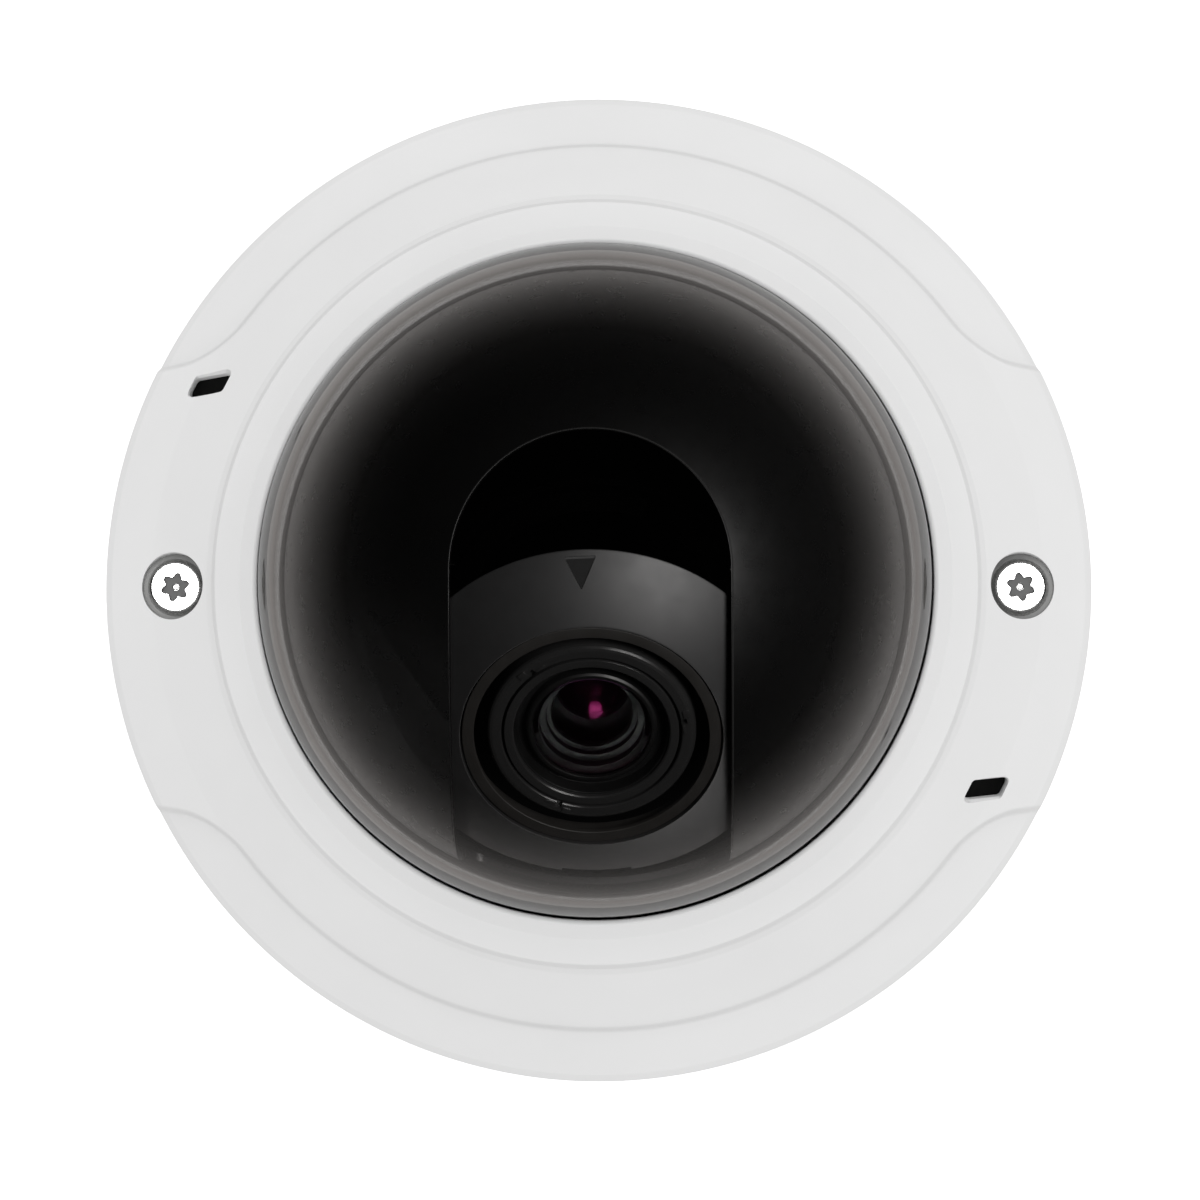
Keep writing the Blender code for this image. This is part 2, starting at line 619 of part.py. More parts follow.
# ---- pan stage ----
def make_pan_stage(mats, frame):
    pan_ring = ring("pan_ring", 38.0, 53.2, 24.9, 28.4, mats["black_plastic"], frame, MEDIUM)
    hole(pan_ring, "pan_lock_thread", 1.8, 20.0, 35.0, (0.0, 43.5))

    yoke = ring("tilt_yoke", 28.0, 48.0, 28.8, 31.3, mats["black_plastic"], frame, MEDIUM)
    hole(yoke, "pan_lock_hole", 1.8, 20.0, 35.0, (0.0, 43.5))
    for side in (-1, 1):
        arm = block(f"yoke_arm_{side}", (2.8, 18, 31), (side * 31.0, 0, 44.5), parent=frame, cutter=True)
        eye = rod(f"yoke_eye_{side}", 9.0, -1.4, 1.4, parent=frame, cutter=True)
        place(eye, (side * 31.0, 0, PIVOT_HEIGHT), (0, 90, 0))
        join(arm, eye)
        join(yoke, arm)
        bore = rod(f"yoke_bore_{side}", 3.4, -6.0, 6.0, parent=frame, cutter=True, steps=TINY)
        cut(yoke, place(bore, (side * 31.0, 0, PIVOT_HEIGHT), (0, 90, 0)))

    at = (0.0, 43.5)
    headed_screw("pan_lock_screw", 3.4, 1.4, 25.2, 31.7, 34.0, at, mats["steel"], frame, 1.5)
    for name, side in (("tilt_pivot_pin", -1), ("tilt_lock_screw", 1)):
        pin = headed_screw(name, 5.0, 3.0, -6.0, 0.0, 2.3, (0, 0), mats["steel"], frame, 1.8, COARSE)
        place(pin, (side * 32.8, 0, PIVOT_HEIGHT), (0, side * 90, 0))


def make_liner(mats, frame):
    profile = arc(LINER_OUTER, PIVOT_HEIGHT, 0, 90, 9)
    profile += [(LINER_OUTER, 28.8), (LINER_INNER, 28.8)]
    profile += arc(LINER_INNER, PIVOT_HEIGHT, 90, 0, 8)
    profile[0] = (0.0, PIVOT_HEIGHT + LINER_OUTER)
    profile[-1] = (0.0, PIVOT_HEIGHT + LINER_INNER)
    liner = turned("dome_liner", profile, mats["black_plastic"], frame, FINE)
    half_turn = [polar(LINER_SLOT, 180 * i / 16) for i in range(17)]
    outline = half_turn + [(-LINER_SLOT, -70.0), (LINER_SLOT, -70.0)]
    window = prism("liner_window", outline, LINER_SLOT_FLOOR, 130, parent=frame, cutter=True)
    cut(liner, window)


# ---- camera head: tilt, roll, focus and zoom ----
def make_cradle(mats, frame):
    cradle = ring("tilt_cradle", 23.0, 26.0, -8.0, 8.0, mats["grey_plastic"], frame, MEDIUM)
    for side in (-1, 1):
        boss = rod(f"cradle_boss_{side}", 5.5, 25.0, 29.3, parent=frame, cutter=True)
        join(cradle, place(boss, rotation=(0, side * 90, 0)))
        bore = rod(f"cradle_bore_{side}", 3.4, 26.2, 40.0, parent=frame, cutter=True, steps=TINY)
        cut(cradle, place(bore, rotation=(0, side * 90, 0)))


def make_head(mats, frame):
    profile = [
        (24.8, 10.2),
        (24.8, 8.4),
        (22.6, 8.4),
        (22.6, -16.0),
        (7.0, -16.0),
        (7.0, -13.6),
        (20.8, -13.6),
        (20.8, 10.2),
    ]
    turned("lens_holder", profile, mats["grey_plastic"], frame, MEDIUM)

    start = math.degrees(math.asin(LENS_OPENING / CAP_OUTER))
    inner_start = math.degrees(math.asin(LENS_OPENING / CAP_INNER))
    outline = arc(CAP_OUTER, 0.0, start, CAP_HALF_ANGLE, 5)
    outline += arc(CAP_INNER, 0.0, CAP_HALF_ANGLE, inner_start, 4)
    cap = turned("head_cap", outline, mats["grey_plastic"], frame, MEDIUM)
    for index, angle in enumerate((60, 180, 300), 1):
        post(cap, f"cap_post_{index}", 2.0, 10.5, 43.4, polar(24.0, angle), TINY)

    trim = [(20.2, 46.2), (21.1, 45.6), (21.1, 41.5), (19.2, 41.5), (19.2, 45.8)]
    turned("lens_trim_ring", trim, mats["trim"], frame, MEDIUM)

    barrel = [
        (14.4, 41.0),
        (14.4, -11.0),
        (18.0, -11.0),
        (18.0, -13.2),
        (11.8, -13.2),
        (11.8, 38.0),
        (8.6, 38.0),
        (8.6, 41.0),
    ]
    turned("lens_barrel", barrel, mats["black_plastic"], frame, MEDIUM)
    retainer = [(14.3, 45.2), (14.3, 41.3), (9.8, 41.3), (9.8, 43.9)]
    turned("front_retaining_ring", retainer, mats["trim"], frame, MEDIUM)
    front = [(0.0, 45.4), (3.5, 45.2), (6.8, 44.6), (9.5, 43.7), (9.5, 41.3), (0.0, 41.3)]
    turned("front_lens", front, mats["glass"], frame, MEDIUM)
    inner = [(0.0, 37.4), (6.0, 36.9), (11.4, 35.5), (11.4, 33.5), (0.0, 33.5)]
    turned("inner_lens", inner, mats["glass"], frame, COARSE)
    ring("iris_plate", 5.0, 11.4, 30.0, 31.5, mats["chip"], frame, COARSE)
    block("sensor_board", (30, 30, 1.6), (0, 0, -19.2), mats["board"], frame)
    block("image_sensor", (12, 10, 1.6), (0, 0, -17.2), mats["chip"], frame)


def make_focus_ring(mats, frame):
    profile = [(16.4, 45.3), (17.1, 44.6), (17.1, 30.0), (14.8, 30.0), (14.8, 45.3)]
    focus = turned("focus_ring", profile, mats["trim"], frame, MEDIUM)
    for index, angle in enumerate((8, 128, 248), 1):
        notch = block(f"focus_notch_{index}", (1.6, 3.0, 3.0), (15.2, 0, 45.6), parent=frame, cutter=True)
        cut(focus, place(notch, rotation=(0, 0, angle)))


def make_zoom_ring(mats, frame):
    zoom = ring("zoom_ring", 14.8, 18.5, 14.0, 20.0, mats["black_plastic"], frame, MEDIUM)
    lever = block("zoom_lever", (9.5, 4.0, 3.0), (22.2, 0, 17.0), parent=frame, cutter=True)
    join(zoom, lever)


def main():
    clear_scene()
    mats = make_materials()
    base = make_frame("base_frame")
    make_mounting_plate(mats, base)
    make_base_housing(mats, base)
    make_base_fittings(mats, base)
    make_electronics(mats, base)
    make_chassis(mats, base)
    make_button(mats, make_frame("button_frame", (*polar(62.5, 285), 0), parent=base))

    cover = make_frame("cover_frame", parent=base)
    make_cover_shell(mats, cover)
    make_vent_mesh("vent_mesh_left", -1, mats, cover)
    make_vent_mesh("vent_mesh_right", 1, mats, cover)
    make_bubble(mats, cover)
    make_cover_screws(mats, cover)

    pan = make_frame("pan_frame", parent=base)
    make_pan_stage(mats, pan)
    make_liner(mats, pan)
    tilt = make_frame("tilt_frame", (0, 0, PIVOT_HEIGHT), (TILT_AT_REST, 0, 0), pan)
    make_cradle(mats, tilt)
    head = make_frame("head_frame", rotation=(0, 0, ROLL_AT_REST), parent=tilt)
    make_head(mats, head)
    make_focus_ring(mats, make_frame("focus_frame", parent=head))
    make_zoom_ring(mats, make_frame("zoom_frame", parent=head))
    for obj in bpy.data.collections[PARTS].objects:
        if obj.type == "MESH":
            obj.data.shade_smooth()
            obj.data.set_sharp_from_angle(angle=math.radians(35))


main()
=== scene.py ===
"""Looks of a dome security camera: fine shells, clear bubble, lens group, board and finishes.

Lengths are in millimetres and turn into metres as a mesh is made.
+Z is the dome's axis, and the lens leans to -Y.
"""

import json
import math
from types import SimpleNamespace

import bmesh
import bpy
import numpy as np
from mathutils import Matrix, Vector

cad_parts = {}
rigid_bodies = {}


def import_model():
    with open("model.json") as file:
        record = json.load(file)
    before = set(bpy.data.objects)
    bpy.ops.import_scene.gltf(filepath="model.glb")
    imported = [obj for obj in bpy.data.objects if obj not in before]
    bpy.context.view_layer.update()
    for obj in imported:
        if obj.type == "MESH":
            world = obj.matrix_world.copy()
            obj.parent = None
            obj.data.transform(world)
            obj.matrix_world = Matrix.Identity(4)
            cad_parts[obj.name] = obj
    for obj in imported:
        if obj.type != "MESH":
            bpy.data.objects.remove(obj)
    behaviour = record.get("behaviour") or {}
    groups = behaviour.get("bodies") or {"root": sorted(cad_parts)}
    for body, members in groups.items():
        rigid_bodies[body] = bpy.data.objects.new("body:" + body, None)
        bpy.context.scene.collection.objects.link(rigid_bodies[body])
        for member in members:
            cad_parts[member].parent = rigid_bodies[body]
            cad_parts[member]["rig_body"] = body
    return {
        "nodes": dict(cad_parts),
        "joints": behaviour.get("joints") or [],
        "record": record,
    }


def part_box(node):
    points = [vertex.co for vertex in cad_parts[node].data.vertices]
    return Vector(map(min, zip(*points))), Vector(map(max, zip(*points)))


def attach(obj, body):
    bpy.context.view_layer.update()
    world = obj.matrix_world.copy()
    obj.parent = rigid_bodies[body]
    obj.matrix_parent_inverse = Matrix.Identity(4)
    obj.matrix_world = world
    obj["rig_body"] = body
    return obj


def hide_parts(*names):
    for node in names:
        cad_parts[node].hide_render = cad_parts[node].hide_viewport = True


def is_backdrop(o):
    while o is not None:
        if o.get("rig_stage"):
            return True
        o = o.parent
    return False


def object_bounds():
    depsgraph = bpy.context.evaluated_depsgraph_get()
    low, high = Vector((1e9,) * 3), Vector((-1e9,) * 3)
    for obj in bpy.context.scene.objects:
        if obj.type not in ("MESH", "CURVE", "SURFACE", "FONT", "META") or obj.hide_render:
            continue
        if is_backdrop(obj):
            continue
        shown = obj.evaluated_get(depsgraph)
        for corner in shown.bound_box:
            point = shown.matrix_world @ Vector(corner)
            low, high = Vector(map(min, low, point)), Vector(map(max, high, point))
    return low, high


MM = 0.001

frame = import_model()
cad_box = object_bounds()

# The pieces that each lamp lights.
inside_lit = []
glass_lit = []
front_lit = []
metal_lit = []
liner_lit = []


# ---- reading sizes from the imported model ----
def measure(node, place=Matrix()):
    """Inner and outer radius about Z, and bottom and top, of a node in its own frame, in millimetres."""
    to_local = place.inverted()
    points = [to_local @ vertex.co / MM for vertex in frame["nodes"][node].data.vertices]
    radii = [math.hypot(point.x, point.y) for point in points]
    heights = [point.z for point in points]
    return SimpleNamespace(inner=min(radii), outer=max(radii), bottom=min(heights), top=max(heights))


def middle(node):
    low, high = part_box(node)
    return (low + high) / 2 / MM


def joint_named(name):
    return next(joint for joint in frame["joints"] if joint["name"] == name)


NODE_SLOTS = {part["node"]: part["material_slot"] for part in frame["record"]["subparts"]}
PIVOT = Vector(joint_named("tilt_turn")["pos_m"]) / MM
LENS_AXIS = Vector(joint_named("lens_roll")["axis"])
TILT_AT_REST = math.atan2(-LENS_AXIS.y, LENS_AXIS.z)
ROLL_AT_REST = math.radians(3.0)

WORLD = Matrix()
TILT_FRAME = Matrix.Translation(PIVOT * MM) @ Matrix.Rotation(TILT_AT_REST, 4, "X")
HEAD_FRAME = TILT_FRAME @ Matrix.Rotation(ROLL_AT_REST, 4, "Z")


def moved(x, y, z):
    return Matrix.Translation(Vector((x, y, z)) * MM)


def spun(degrees):
    return Matrix.Rotation(math.radians(degrees), 4, "Z")


def upright_at(x, y, turn=0.0):
    """A frame standing on the point (x, y), turned about Z by some degrees."""
    return moved(x, y, 0) @ spun(turn)


# ---- outlines ----
CORNERS = ((-1, -1), (1, -1), (1, 1), (-1, 1))


def polar(radius, degrees):
    return (radius * math.cos(math.radians(degrees)), radius * math.sin(math.radians(degrees)))


def arc(radius, height, start, stop, count):
    """Points on a circle about a centre on the axis, angles in degrees from +Z."""
    angles = np.radians(np.linspace(start, stop, count))
    return [(radius * math.sin(a), height + radius * math.cos(a)) for a in angles]


def rounded(points, radius, closed=True, steps=4):
    """The outline with each corner turned into an arc of up to that radius."""
    count = len(points)
    outline = []
    for index, point in enumerate(points):
        here = Vector(point)
        if not closed and index in (0, count - 1):
            outline.append(tuple(here))
            continue
        before = Vector(points[index - 1]) - here
        after = Vector(points[(index + 1) % count]) - here
        bend = before.angle(after, math.pi)
        if bend > math.radians(172) or bend < math.radians(8):
            outline.append(tuple(here))
            continue
        reach = min(radius / math.tan(bend / 2), before.length * 0.45, after.length * 0.45)
        start, end = here + before.normalized() * reach, here + after.normalized() * reach
        for step in range(steps + 1):
            t = step / steps
            outline.append(tuple(start.lerp(here, t).lerp(here.lerp(end, t), t)))
    return outline


# ---- meshes ----
def solid(name, points, faces, place=WORLD):
    """A closed mesh from points in millimetres in a frame, with its faces pointing out."""
    mesh = bpy.data.meshes.new(name)
    mesh.from_pydata([tuple(point) for point in points], [], faces)
    shape = bmesh.new()
    shape.from_mesh(mesh)
    bmesh.ops.remove_doubles(shape, verts=shape.verts, dist=0.0005)
    bmesh.ops.scale(shape, vec=(MM, MM, MM), verts=shape.verts)
    bmesh.ops.transform(shape, matrix=place, verts=shape.verts)
    bmesh.ops.recalc_face_normals(shape, faces=shape.faces)
    shape.to_mesh(mesh)
    shape.free()
    obj = bpy.data.objects.new(name, mesh)
    bpy.context.scene.collection.objects.link(obj)
    return smooth(obj)


def smooth(obj, degrees=32):
    obj.data.shade_smooth()
    obj.data.set_sharp_from_angle(angle=math.radians(degrees))
    return obj


def woven_grid(rows, columns, wrap_rows):
    """Quads over a grid of points whose columns close on themselves."""
    index = np.arange(rows * columns).reshape(rows, columns)
    lower = index if wrap_rows else index[:-1]
    upper = np.roll(index, -1, axis=0)[: len(lower)]
    quads = np.stack([lower, upper, np.roll(upper, -1, 1), np.roll(lower, -1, 1)], axis=-1)
    return quads.reshape(-1, 4).tolist()


def turned(name, profile, place=WORLD, steps=96, edge=0.15):
    """A body of revolution about Z with softened corners; a profile that ends on the axis stays open."""
    closed = profile[0][0] > 0 or profile[-1][0] > 0
    outline = np.array(rounded(profile, edge, closed) if edge else profile)
    angles = np.linspace(0, 2 * math.pi, steps, endpoint=False)
    radii = np.broadcast_to(outline[:, :1], (len(outline), steps))
    heights = np.broadcast_to(outline[:, 1:], radii.shape)
    points = np.stack([radii * np.cos(angles), radii * np.sin(angles), heights], axis=-1)
    return solid(name, points.reshape(-1, 3), woven_grid(len(outline), steps, closed), place)


def ring(name, inner, outer, bottom, top, place=WORLD, steps=96, edge=0.2):
    return turned(name, [(inner, bottom), (outer, bottom), (outer, top), (inner, top)], place, steps, edge)


def ring_like(node, place=WORLD, steps=96, edge=0.2, inner=None):
    """A fine ring of a node's own size, or with a bore of its own."""
    size = measure(node, place)
    return ring(node + "_fine", inner or size.inner, size.outer, size.bottom, size.top, place, steps, edge)


def lofted(name, loops, place=WORLD):
    """A closed solid through several loops of as many points each, with a face over each end."""
    count = len(loops[0])
    last = (len(loops) - 1) * count
    ends = [list(range(count))[::-1], list(range(last, last + count))]
    points = [point for loop in loops for point in loop]
    return solid(name, points, ends + woven_grid(len(loops), count, False), place)


def plate(name, outline, bottom, top, place=WORLD, taper=1.0, edge=0.0):
    """An upright solid over a flat outline; taper scales the bottom about the outline's own middle."""
    centre = np.mean(np.array(outline), axis=0)
    low = [(*(centre + (np.array(point) - centre) * taper), bottom) for point in outline]
    obj = lofted(name, [low, [(*point, top) for point in outline]], place)
    return bevelled(obj, edge) if edge else obj


def block(name, size, centre, place=WORLD, edge=0.0):
    half_x, half_y, half_z = size[0] / 2, size[1] / 2, size[2] / 2
    x, y, z = centre
    outline = [(x + i * half_x, y + j * half_y) for i, j in CORNERS]
    return plate(name, outline, z - half_z, z + half_z, place, edge=edge)


def rod(name, radius, bottom, top, place=WORLD, steps=48, edge=0.1):
    return turned(name, [(0, bottom), (radius, bottom), (radius, top), (0, top)], place, steps, edge)


def apply_modifiers(obj):
    graph = bpy.context.evaluated_depsgraph_get()
    mesh = bpy.data.meshes.new_from_object(obj.evaluated_get(graph))
    obj.modifiers.clear()
    obj.data = mesh
    return smooth(obj)


def bevelled(obj, width, segments=3, degrees=30):
    step = obj.modifiers.new("soft_edges", "BEVEL")
    step.width = width * MM
    step.segments = segments
    step.limit_method = "ANGLE"
    step.angle_limit = math.radians(degrees)
    step.harden_normals = False
    return apply_modifiers(obj)


def combined(obj, tools, operation):
    for tool in tools:
        step = obj.modifiers.new("combine", "BOOLEAN")
        step.operation = operation
        step.object = tool
    apply_modifiers(obj)
    for tool in tools:
        bpy.data.objects.remove(tool, do_unlink=True)
    return obj


def carved(obj, *tools):
    return combined(obj, tools, "DIFFERENCE")


def fused(obj, *tools):
    return combined(obj, tools, "UNION")


def joined(obj, *others, name=None):
    """Several separate solids kept as one piece, under the first one's name or a new one."""
    obj.name = name or obj.name
    shape = bmesh.new()
    for part in (obj, *others):
        shape.from_mesh(part.data)
    shape.to_mesh(obj.data)
    shape.free()
    for other in others:
        bpy.data.objects.remove(other, do_unlink=True)
    return smooth(obj)


def piece(obj, body, finish, slot):
    """Gives a finished mesh its material and its body; the slot argument is not used."""
    obj.data.materials.clear()
    obj.data.materials.append(finish)
    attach(obj, body)


def stand_in(obj, finish):
    """A mesh named after a node, with "_fine" added, takes the node's place on its body."""
    node = obj.name.removesuffix("_fine")
    piece(obj, frame["nodes"][node]["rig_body"], finish, NODE_SLOTS[node])
    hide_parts(node)


# ---- finishes ----
COATING = (1.0, 0.08, 0.45, 1.0)  # the magenta cast of coated lens surfaces
TRAPPED_SMOKE = 1.0  # absorption per millimetre of light that has bounced inside a clear solid
SHADE_OF_CLEAR = (0.92, 0.92, 0.92, 1.0)  # share of a lamp's light that passes a clear solid


def fill(tree, socket, value):
    if isinstance(value, bpy.types.NodeSocket):
        tree.links.new(value, socket)
    else:
        socket.default_value = value


def add_node(tree, kind, **inputs):
    node = tree.nodes.new(kind)
    for socket, value in inputs.items():
        fill(tree, node.inputs[socket.replace("_", " ")], value)
    return node


def maths(tree, operation, *values):
    """The result of a maths node fed with sockets or numbers."""
    node = tree.nodes.new("ShaderNodeMath")
    node.operation = operation
    for socket, value in zip(node.inputs, values):
        fill(tree, socket, value)
    return node.outputs[0]


class Finish:
    """A Principled material with a small node graph in object coordinates that varies it."""

    def __init__(self, name, colour, roughness, metallic=0.0, **settings):
        """The colour may be one number for a grey."""
        self.material = bpy.data.materials.new(name)
        self.material.use_nodes = True
        self.tree = self.material.node_tree
        self.shader = self.tree.nodes["Principled BSDF"]
        self.output = self.tree.nodes["Material Output"]
        self.place = self.node("ShaderNodeTexCoord").outputs["Object"]
        self.colour = (colour, colour, colour, 1.0) if isinstance(colour, float) else (*colour, 1.0)
        self.set("Base Color", self.colour)
        self.set("Roughness", roughness)
        self.set("Metallic", metallic)
        for socket, value in settings.items():
            self.set(socket.replace("_", " "), value)

    def node(self, kind, **inputs):
        return add_node(self.tree, kind, **inputs)

    def set(self, socket, value):
        fill(self.tree, self.shader.inputs[socket], value)

    def noise(self, size, detail=2.0, stretch=(1, 1, 1)):
        """Noise whose features are about that many millimetres across."""
        source = self.node("ShaderNodeMapping", Vector=self.place, Scale=stretch).outputs["Vector"]
        noise = self.node("ShaderNodeTexNoise", Vector=source, Scale=1 / (size * MM), Detail=detail)
        return noise.outputs["Fac"]

    def between(self, factor, low, high):
        """A value that follows a factor around its middle from low to high."""
        span = {"From_Min": 0.3, "From_Max": 0.7, "To_Min": low, "To_Max": high}
        return self.node("ShaderNodeMapRange", Value=factor, **span).outputs["Result"]

    def blend(self, factor, first, second):
        """One colour turning into another; a colour mix keeps its colours in inputs 6 and 7."""
        mix = self.tree.nodes.new("ShaderNodeMix")
        mix.data_type = "RGBA"
        for socket, value in zip((0, 6, 7), (factor, first, second)):
            fill(self.tree, mix.inputs[socket], value)
        return mix.outputs[2]

    def surface(self, factor, other):
        """Shows another shader in place of the Principled one by a factor."""
        mix = self.node("ShaderNodeMixShader", Fac=factor)
        fill(self.tree, mix.inputs[1], self.shader.outputs[0])
        fill(self.tree, mix.inputs[2], other.outputs[0])
        fill(self.tree, self.output.inputs["Surface"], mix.outputs[0])

    def bump(self, height, strength, depth):
        """A bump of that depth in millimetres, added to any bump already there."""
        bump = self.node("ShaderNodeBump", Height=height, Strength=strength, Distance=depth * MM)
        normal = self.shader.inputs["Normal"]
        if normal.is_linked:
            self.tree.links.new(normal.links[0].from_socket, bump.inputs["Normal"])
        self.tree.links.new(bump.outputs["Normal"], normal)

    def tint(self, size, amount):
        """Slow lighter and darker patches."""
        lighter = tuple(min(1.0, c * (1 + amount)) for c in self.colour[:3]) + (1.0,)
        darker = tuple(c * (1 - amount) for c in self.colour[:3]) + (1.0,)
        factor = self.between(self.noise(size, 3.0), 0.0, 1.0)
        self.set("Base Color", self.blend(factor, darker, lighter))


def powder_coat():
    """Satin white powder coat with a fine orange peel."""
    coat = Finish("white_powder_coat", 0.82, 0.5, Specular_IOR_Level=0.35)
    coat.tint(30.0, 0.012)
    coat.set("Roughness", coat.between(coat.noise(6.0), 0.45, 0.6))
    coat.bump(coat.noise(1.1, 1.0), 0.25, 0.02)
    coat.bump(coat.noise(0.25, 1.0), 0.2, 0.005)
    return coat.material


def moulded(name, colour, roughness, grain=0.22, depth=0.02, uneven=0.05, **settings):
    """Moulded plastic with a fine spark-eroded grain."""
    plastic = Finish(name, colour, roughness, **settings)
    plastic.tint(14.0, 0.08)
    spread = plastic.between(plastic.noise(3.0), roughness - uneven, roughness + uneven)
    plastic.set("Roughness", spread)
    plastic.bump(plastic.noise(grain, 2.0), 0.35, depth)
    return plastic.material


def metal(name, colour, roughness, stretch=(1, 1, 1), grain=0.3):
    """Bare or plated metal, with its grain drawn out along one way if stretched."""
    steel = Finish(name, colour, roughness, 1.0)
    steel.tint(5.0, 0.05)
    steel.set("Roughness", steel.between(steel.noise(grain, 3.0, stretch), roughness * 0.8, roughness * 1.25))
    steel.bump(steel.noise(grain, 2.0, stretch), 0.15, 0.01)
    return steel.material


def clear_solid(name, ior, smoke, through_colour, **settings):
    """Clear solid that bends what is seen through it, dims it with depth, and lets lamps through."""
    clear = Finish(name, 1.0, 0.02, Transmission_Weight=1.0, IOR=ior, **settings)
    clear.bump(clear.noise(9.0, 1.0), 0.04, 0.01)
    path = clear.node("ShaderNodeLightPath").outputs
    density = maths(clear.tree, "MULTIPLY_ADD", path["Is Reflection Ray"], TRAPPED_SMOKE / MM, smoke[3] / MM)
    depth = clear.node("ShaderNodeVolumeAbsorption", Color=(*smoke[:3], 1.0), Density=density)
    fill(clear.tree, clear.output.inputs["Volume"], depth.outputs[0])
    dimmed = clear.blend(path["Is Diffuse Ray"], SHADE_OF_CLEAR, (*through_colour, 1.0))
    through = clear.node("ShaderNodeBsdfTransparent", Color=dimmed)
    clear.surface(maths(clear.tree, "MAXIMUM", path["Is Shadow Ray"], path["Is Diffuse Ray"]), through)
    return clear.material


def make_finishes():
    shiny, dull, dullest = ({"Specular_IOR_Level": level} for level in (0.8, 0.3, 0.2))
    return SimpleNamespace(
        white=powder_coat(),
        bubble=clear_solid("clear_polycarbonate", 1.58, (0.5, 0.47, 0.45, 0.1), (0.3, 0.3, 0.3)),
        liner=moulded("matt_black_liner", 0.002, 0.28, 0.12, 0.002, 0.01, **shiny),
        # Lighter than the liner: paints the highlight along the slot's edge.
        painted_edge_highlight=moulded("worn_black_edge", 0.016, 0.5, **dull),
        black=moulded("matt_black_plastic", 0.006, 0.6, **dull),
        cap=moulded("dark_grey_cap", (0.0102, 0.0102, 0.0105), 0.5, 0.16, 0.006, 0.02),
        # Near-black: paints the shade inside the cap's triangular recess.
        mark=moulded("black_mark", (0.0014, 0.0014, 0.0015), 0.45, 0.16, 0.006, 0.02, **dullest),
        grey=moulded("dark_grey_plastic", (0.05, 0.05, 0.052), 0.55),
        trim=moulded("satin_black_trim", (0.011, 0.010, 0.009), 0.55, 0.15, 0.006),
        lens_black=moulded("blackened_lens_seat", 0.003, 0.45, 0.15, 0.004, **dull),
        gloss=moulded("semi_gloss_black", 0.014, 0.22, 0.6, 0.002),
        steel=metal("stainless_steel", (0.72, 0.72, 0.71), 0.28),
        # A grey non-metal colour that paints the shade in the steel screws' sockets.
        socket=moulded("dull_socket_floor", 0.3, 0.5),
        zinc=metal("zinc_plated_steel", (0.58, 0.59, 0.62), 0.38, grain=1.2),
        rubber=moulded("black_rubber", 0.018, 0.8),
        nylon=moulded("grey_nylon", (0.2, 0.2, 0.197), 0.55),
        board=moulded("green_circuit_board", (0.015, 0.12, 0.05), 0.4),
        ceramic=moulded("tan_ceramic", (0.42, 0.27, 0.14), 0.45),
        track=moulded("light_green_track", (0.03, 0.2, 0.08), 0.35),
        solder=metal("bright_solder", 0.7, 0.3, grain=0.6),
        gold=metal("gold_contact", (0.85, 0.6, 0.22), 0.25),
        jack=moulded("grey_jack", 0.3, 0.45),
        terminal=moulded("dark_green_terminal", (0.02, 0.06, 0.035), 0.5),
        chassis=moulded("black_chassis", 0.012, 0.5),
        dark_steel=metal("blackened_steel", 0.05, 0.4),
        chip=moulded("black_epoxy", 0.02, 0.45),
        aluminium=metal("plain_aluminium", (0.78, 0.78, 0.79), 0.35, (1, 8, 1)),
        glass=clear_solid("coated_glass", 1.52, (0.8, 0.6, 0.8, 0.02), (0.8,) * 3, Specular_Tint=COATING),
        membrane=moulded("white_membrane", (0.75, 0.75, 0.74), 0.8),
    )


# ---- cover ----
RIM = measure("cover_shell").outer
SKIRT_BOTTOM = measure("cover_shell").bottom
COVER_TOP = measure("cover_shell").top
OPENING = 58.2  # radius of the round opening for the bubble
SCREW_AT = middle("cover_screw_right").x - 0.5
SCREW_PLACES = [(side * SCREW_AT, 0.0) for side in (-1, 1)]
RETAINER_PLACES = [polar(65.3, angle) for angle in (45, 135, 225, 315)]
STEP_AT = RIM - 9.6  # middle of the wall between the raised band and the low skirt
WING_HALF_WIDTH = 39.8  # at WING_REFERENCE from the centre
WING_REFERENCE = 72.0
WING_TAPER = 0.13
WING_RISE = 3.2  # height of the wings over the skirt
CORNER = 6.0  # plan radius where a wing edge runs into the band


def wing_edge(x, y, inset):
    """Distance outside the straight wing edges, in plan."""
    half = WING_HALF_WIDTH + (WING_REFERENCE - np.abs(x)) * WING_TAPER - inset
    return (np.abs(y) - half) / math.hypot(1, WING_TAPER)


def raised(radius, angle, wall_at, inset, spread):
    """1 on the raised band and wings, 0 on the skirt, with a soft wall between."""
    from_band = radius - wall_at
    from_wing = wing_edge(radius * np.cos(angle), radius * np.sin(angle), inset)
    outside = np.maximum(CORNER, np.minimum(from_band, from_wing))
    outside -= np.hypot(np.maximum(CORNER - from_band, 0), np.maximum(CORNER - from_wing, 0))
    t = np.clip(0.5 - outside / (2 * spread), 0, 1)
    return t * t * t * (t * (6 * t - 15) + 10)


def edge_angle(radius):
    """The angle at which a wing edge crosses a circle, in degrees."""
    radius = np.maximum(radius, STEP_AT)
    angle = np.full_like(radius, math.radians(29))
    for _ in range(8):
        half = WING_HALF_WIDTH + (WING_REFERENCE - radius * np.cos(angle)) * WING_TAPER
        angle = np.arcsin(half / radius)
    return np.degrees(angle)


def column_angles():
    """Angles round a quarter turn, closest together where a wing edge runs."""
    middle_edge = edge_angle(np.array([80.0]))[0]
    near = np.arange(-1.6, 1.61, 0.1)
    wide = np.concatenate([np.arange(-5.0, -1.6, 0.34), near, np.arange(1.94, 5.0, 0.34)]) + middle_edge
    before = np.linspace(0, wide[0], 18, endpoint=False)
    after = np.linspace(wide[-1], 90, 40)[1:]
    return np.concatenate([before, wide, after]), middle_edge


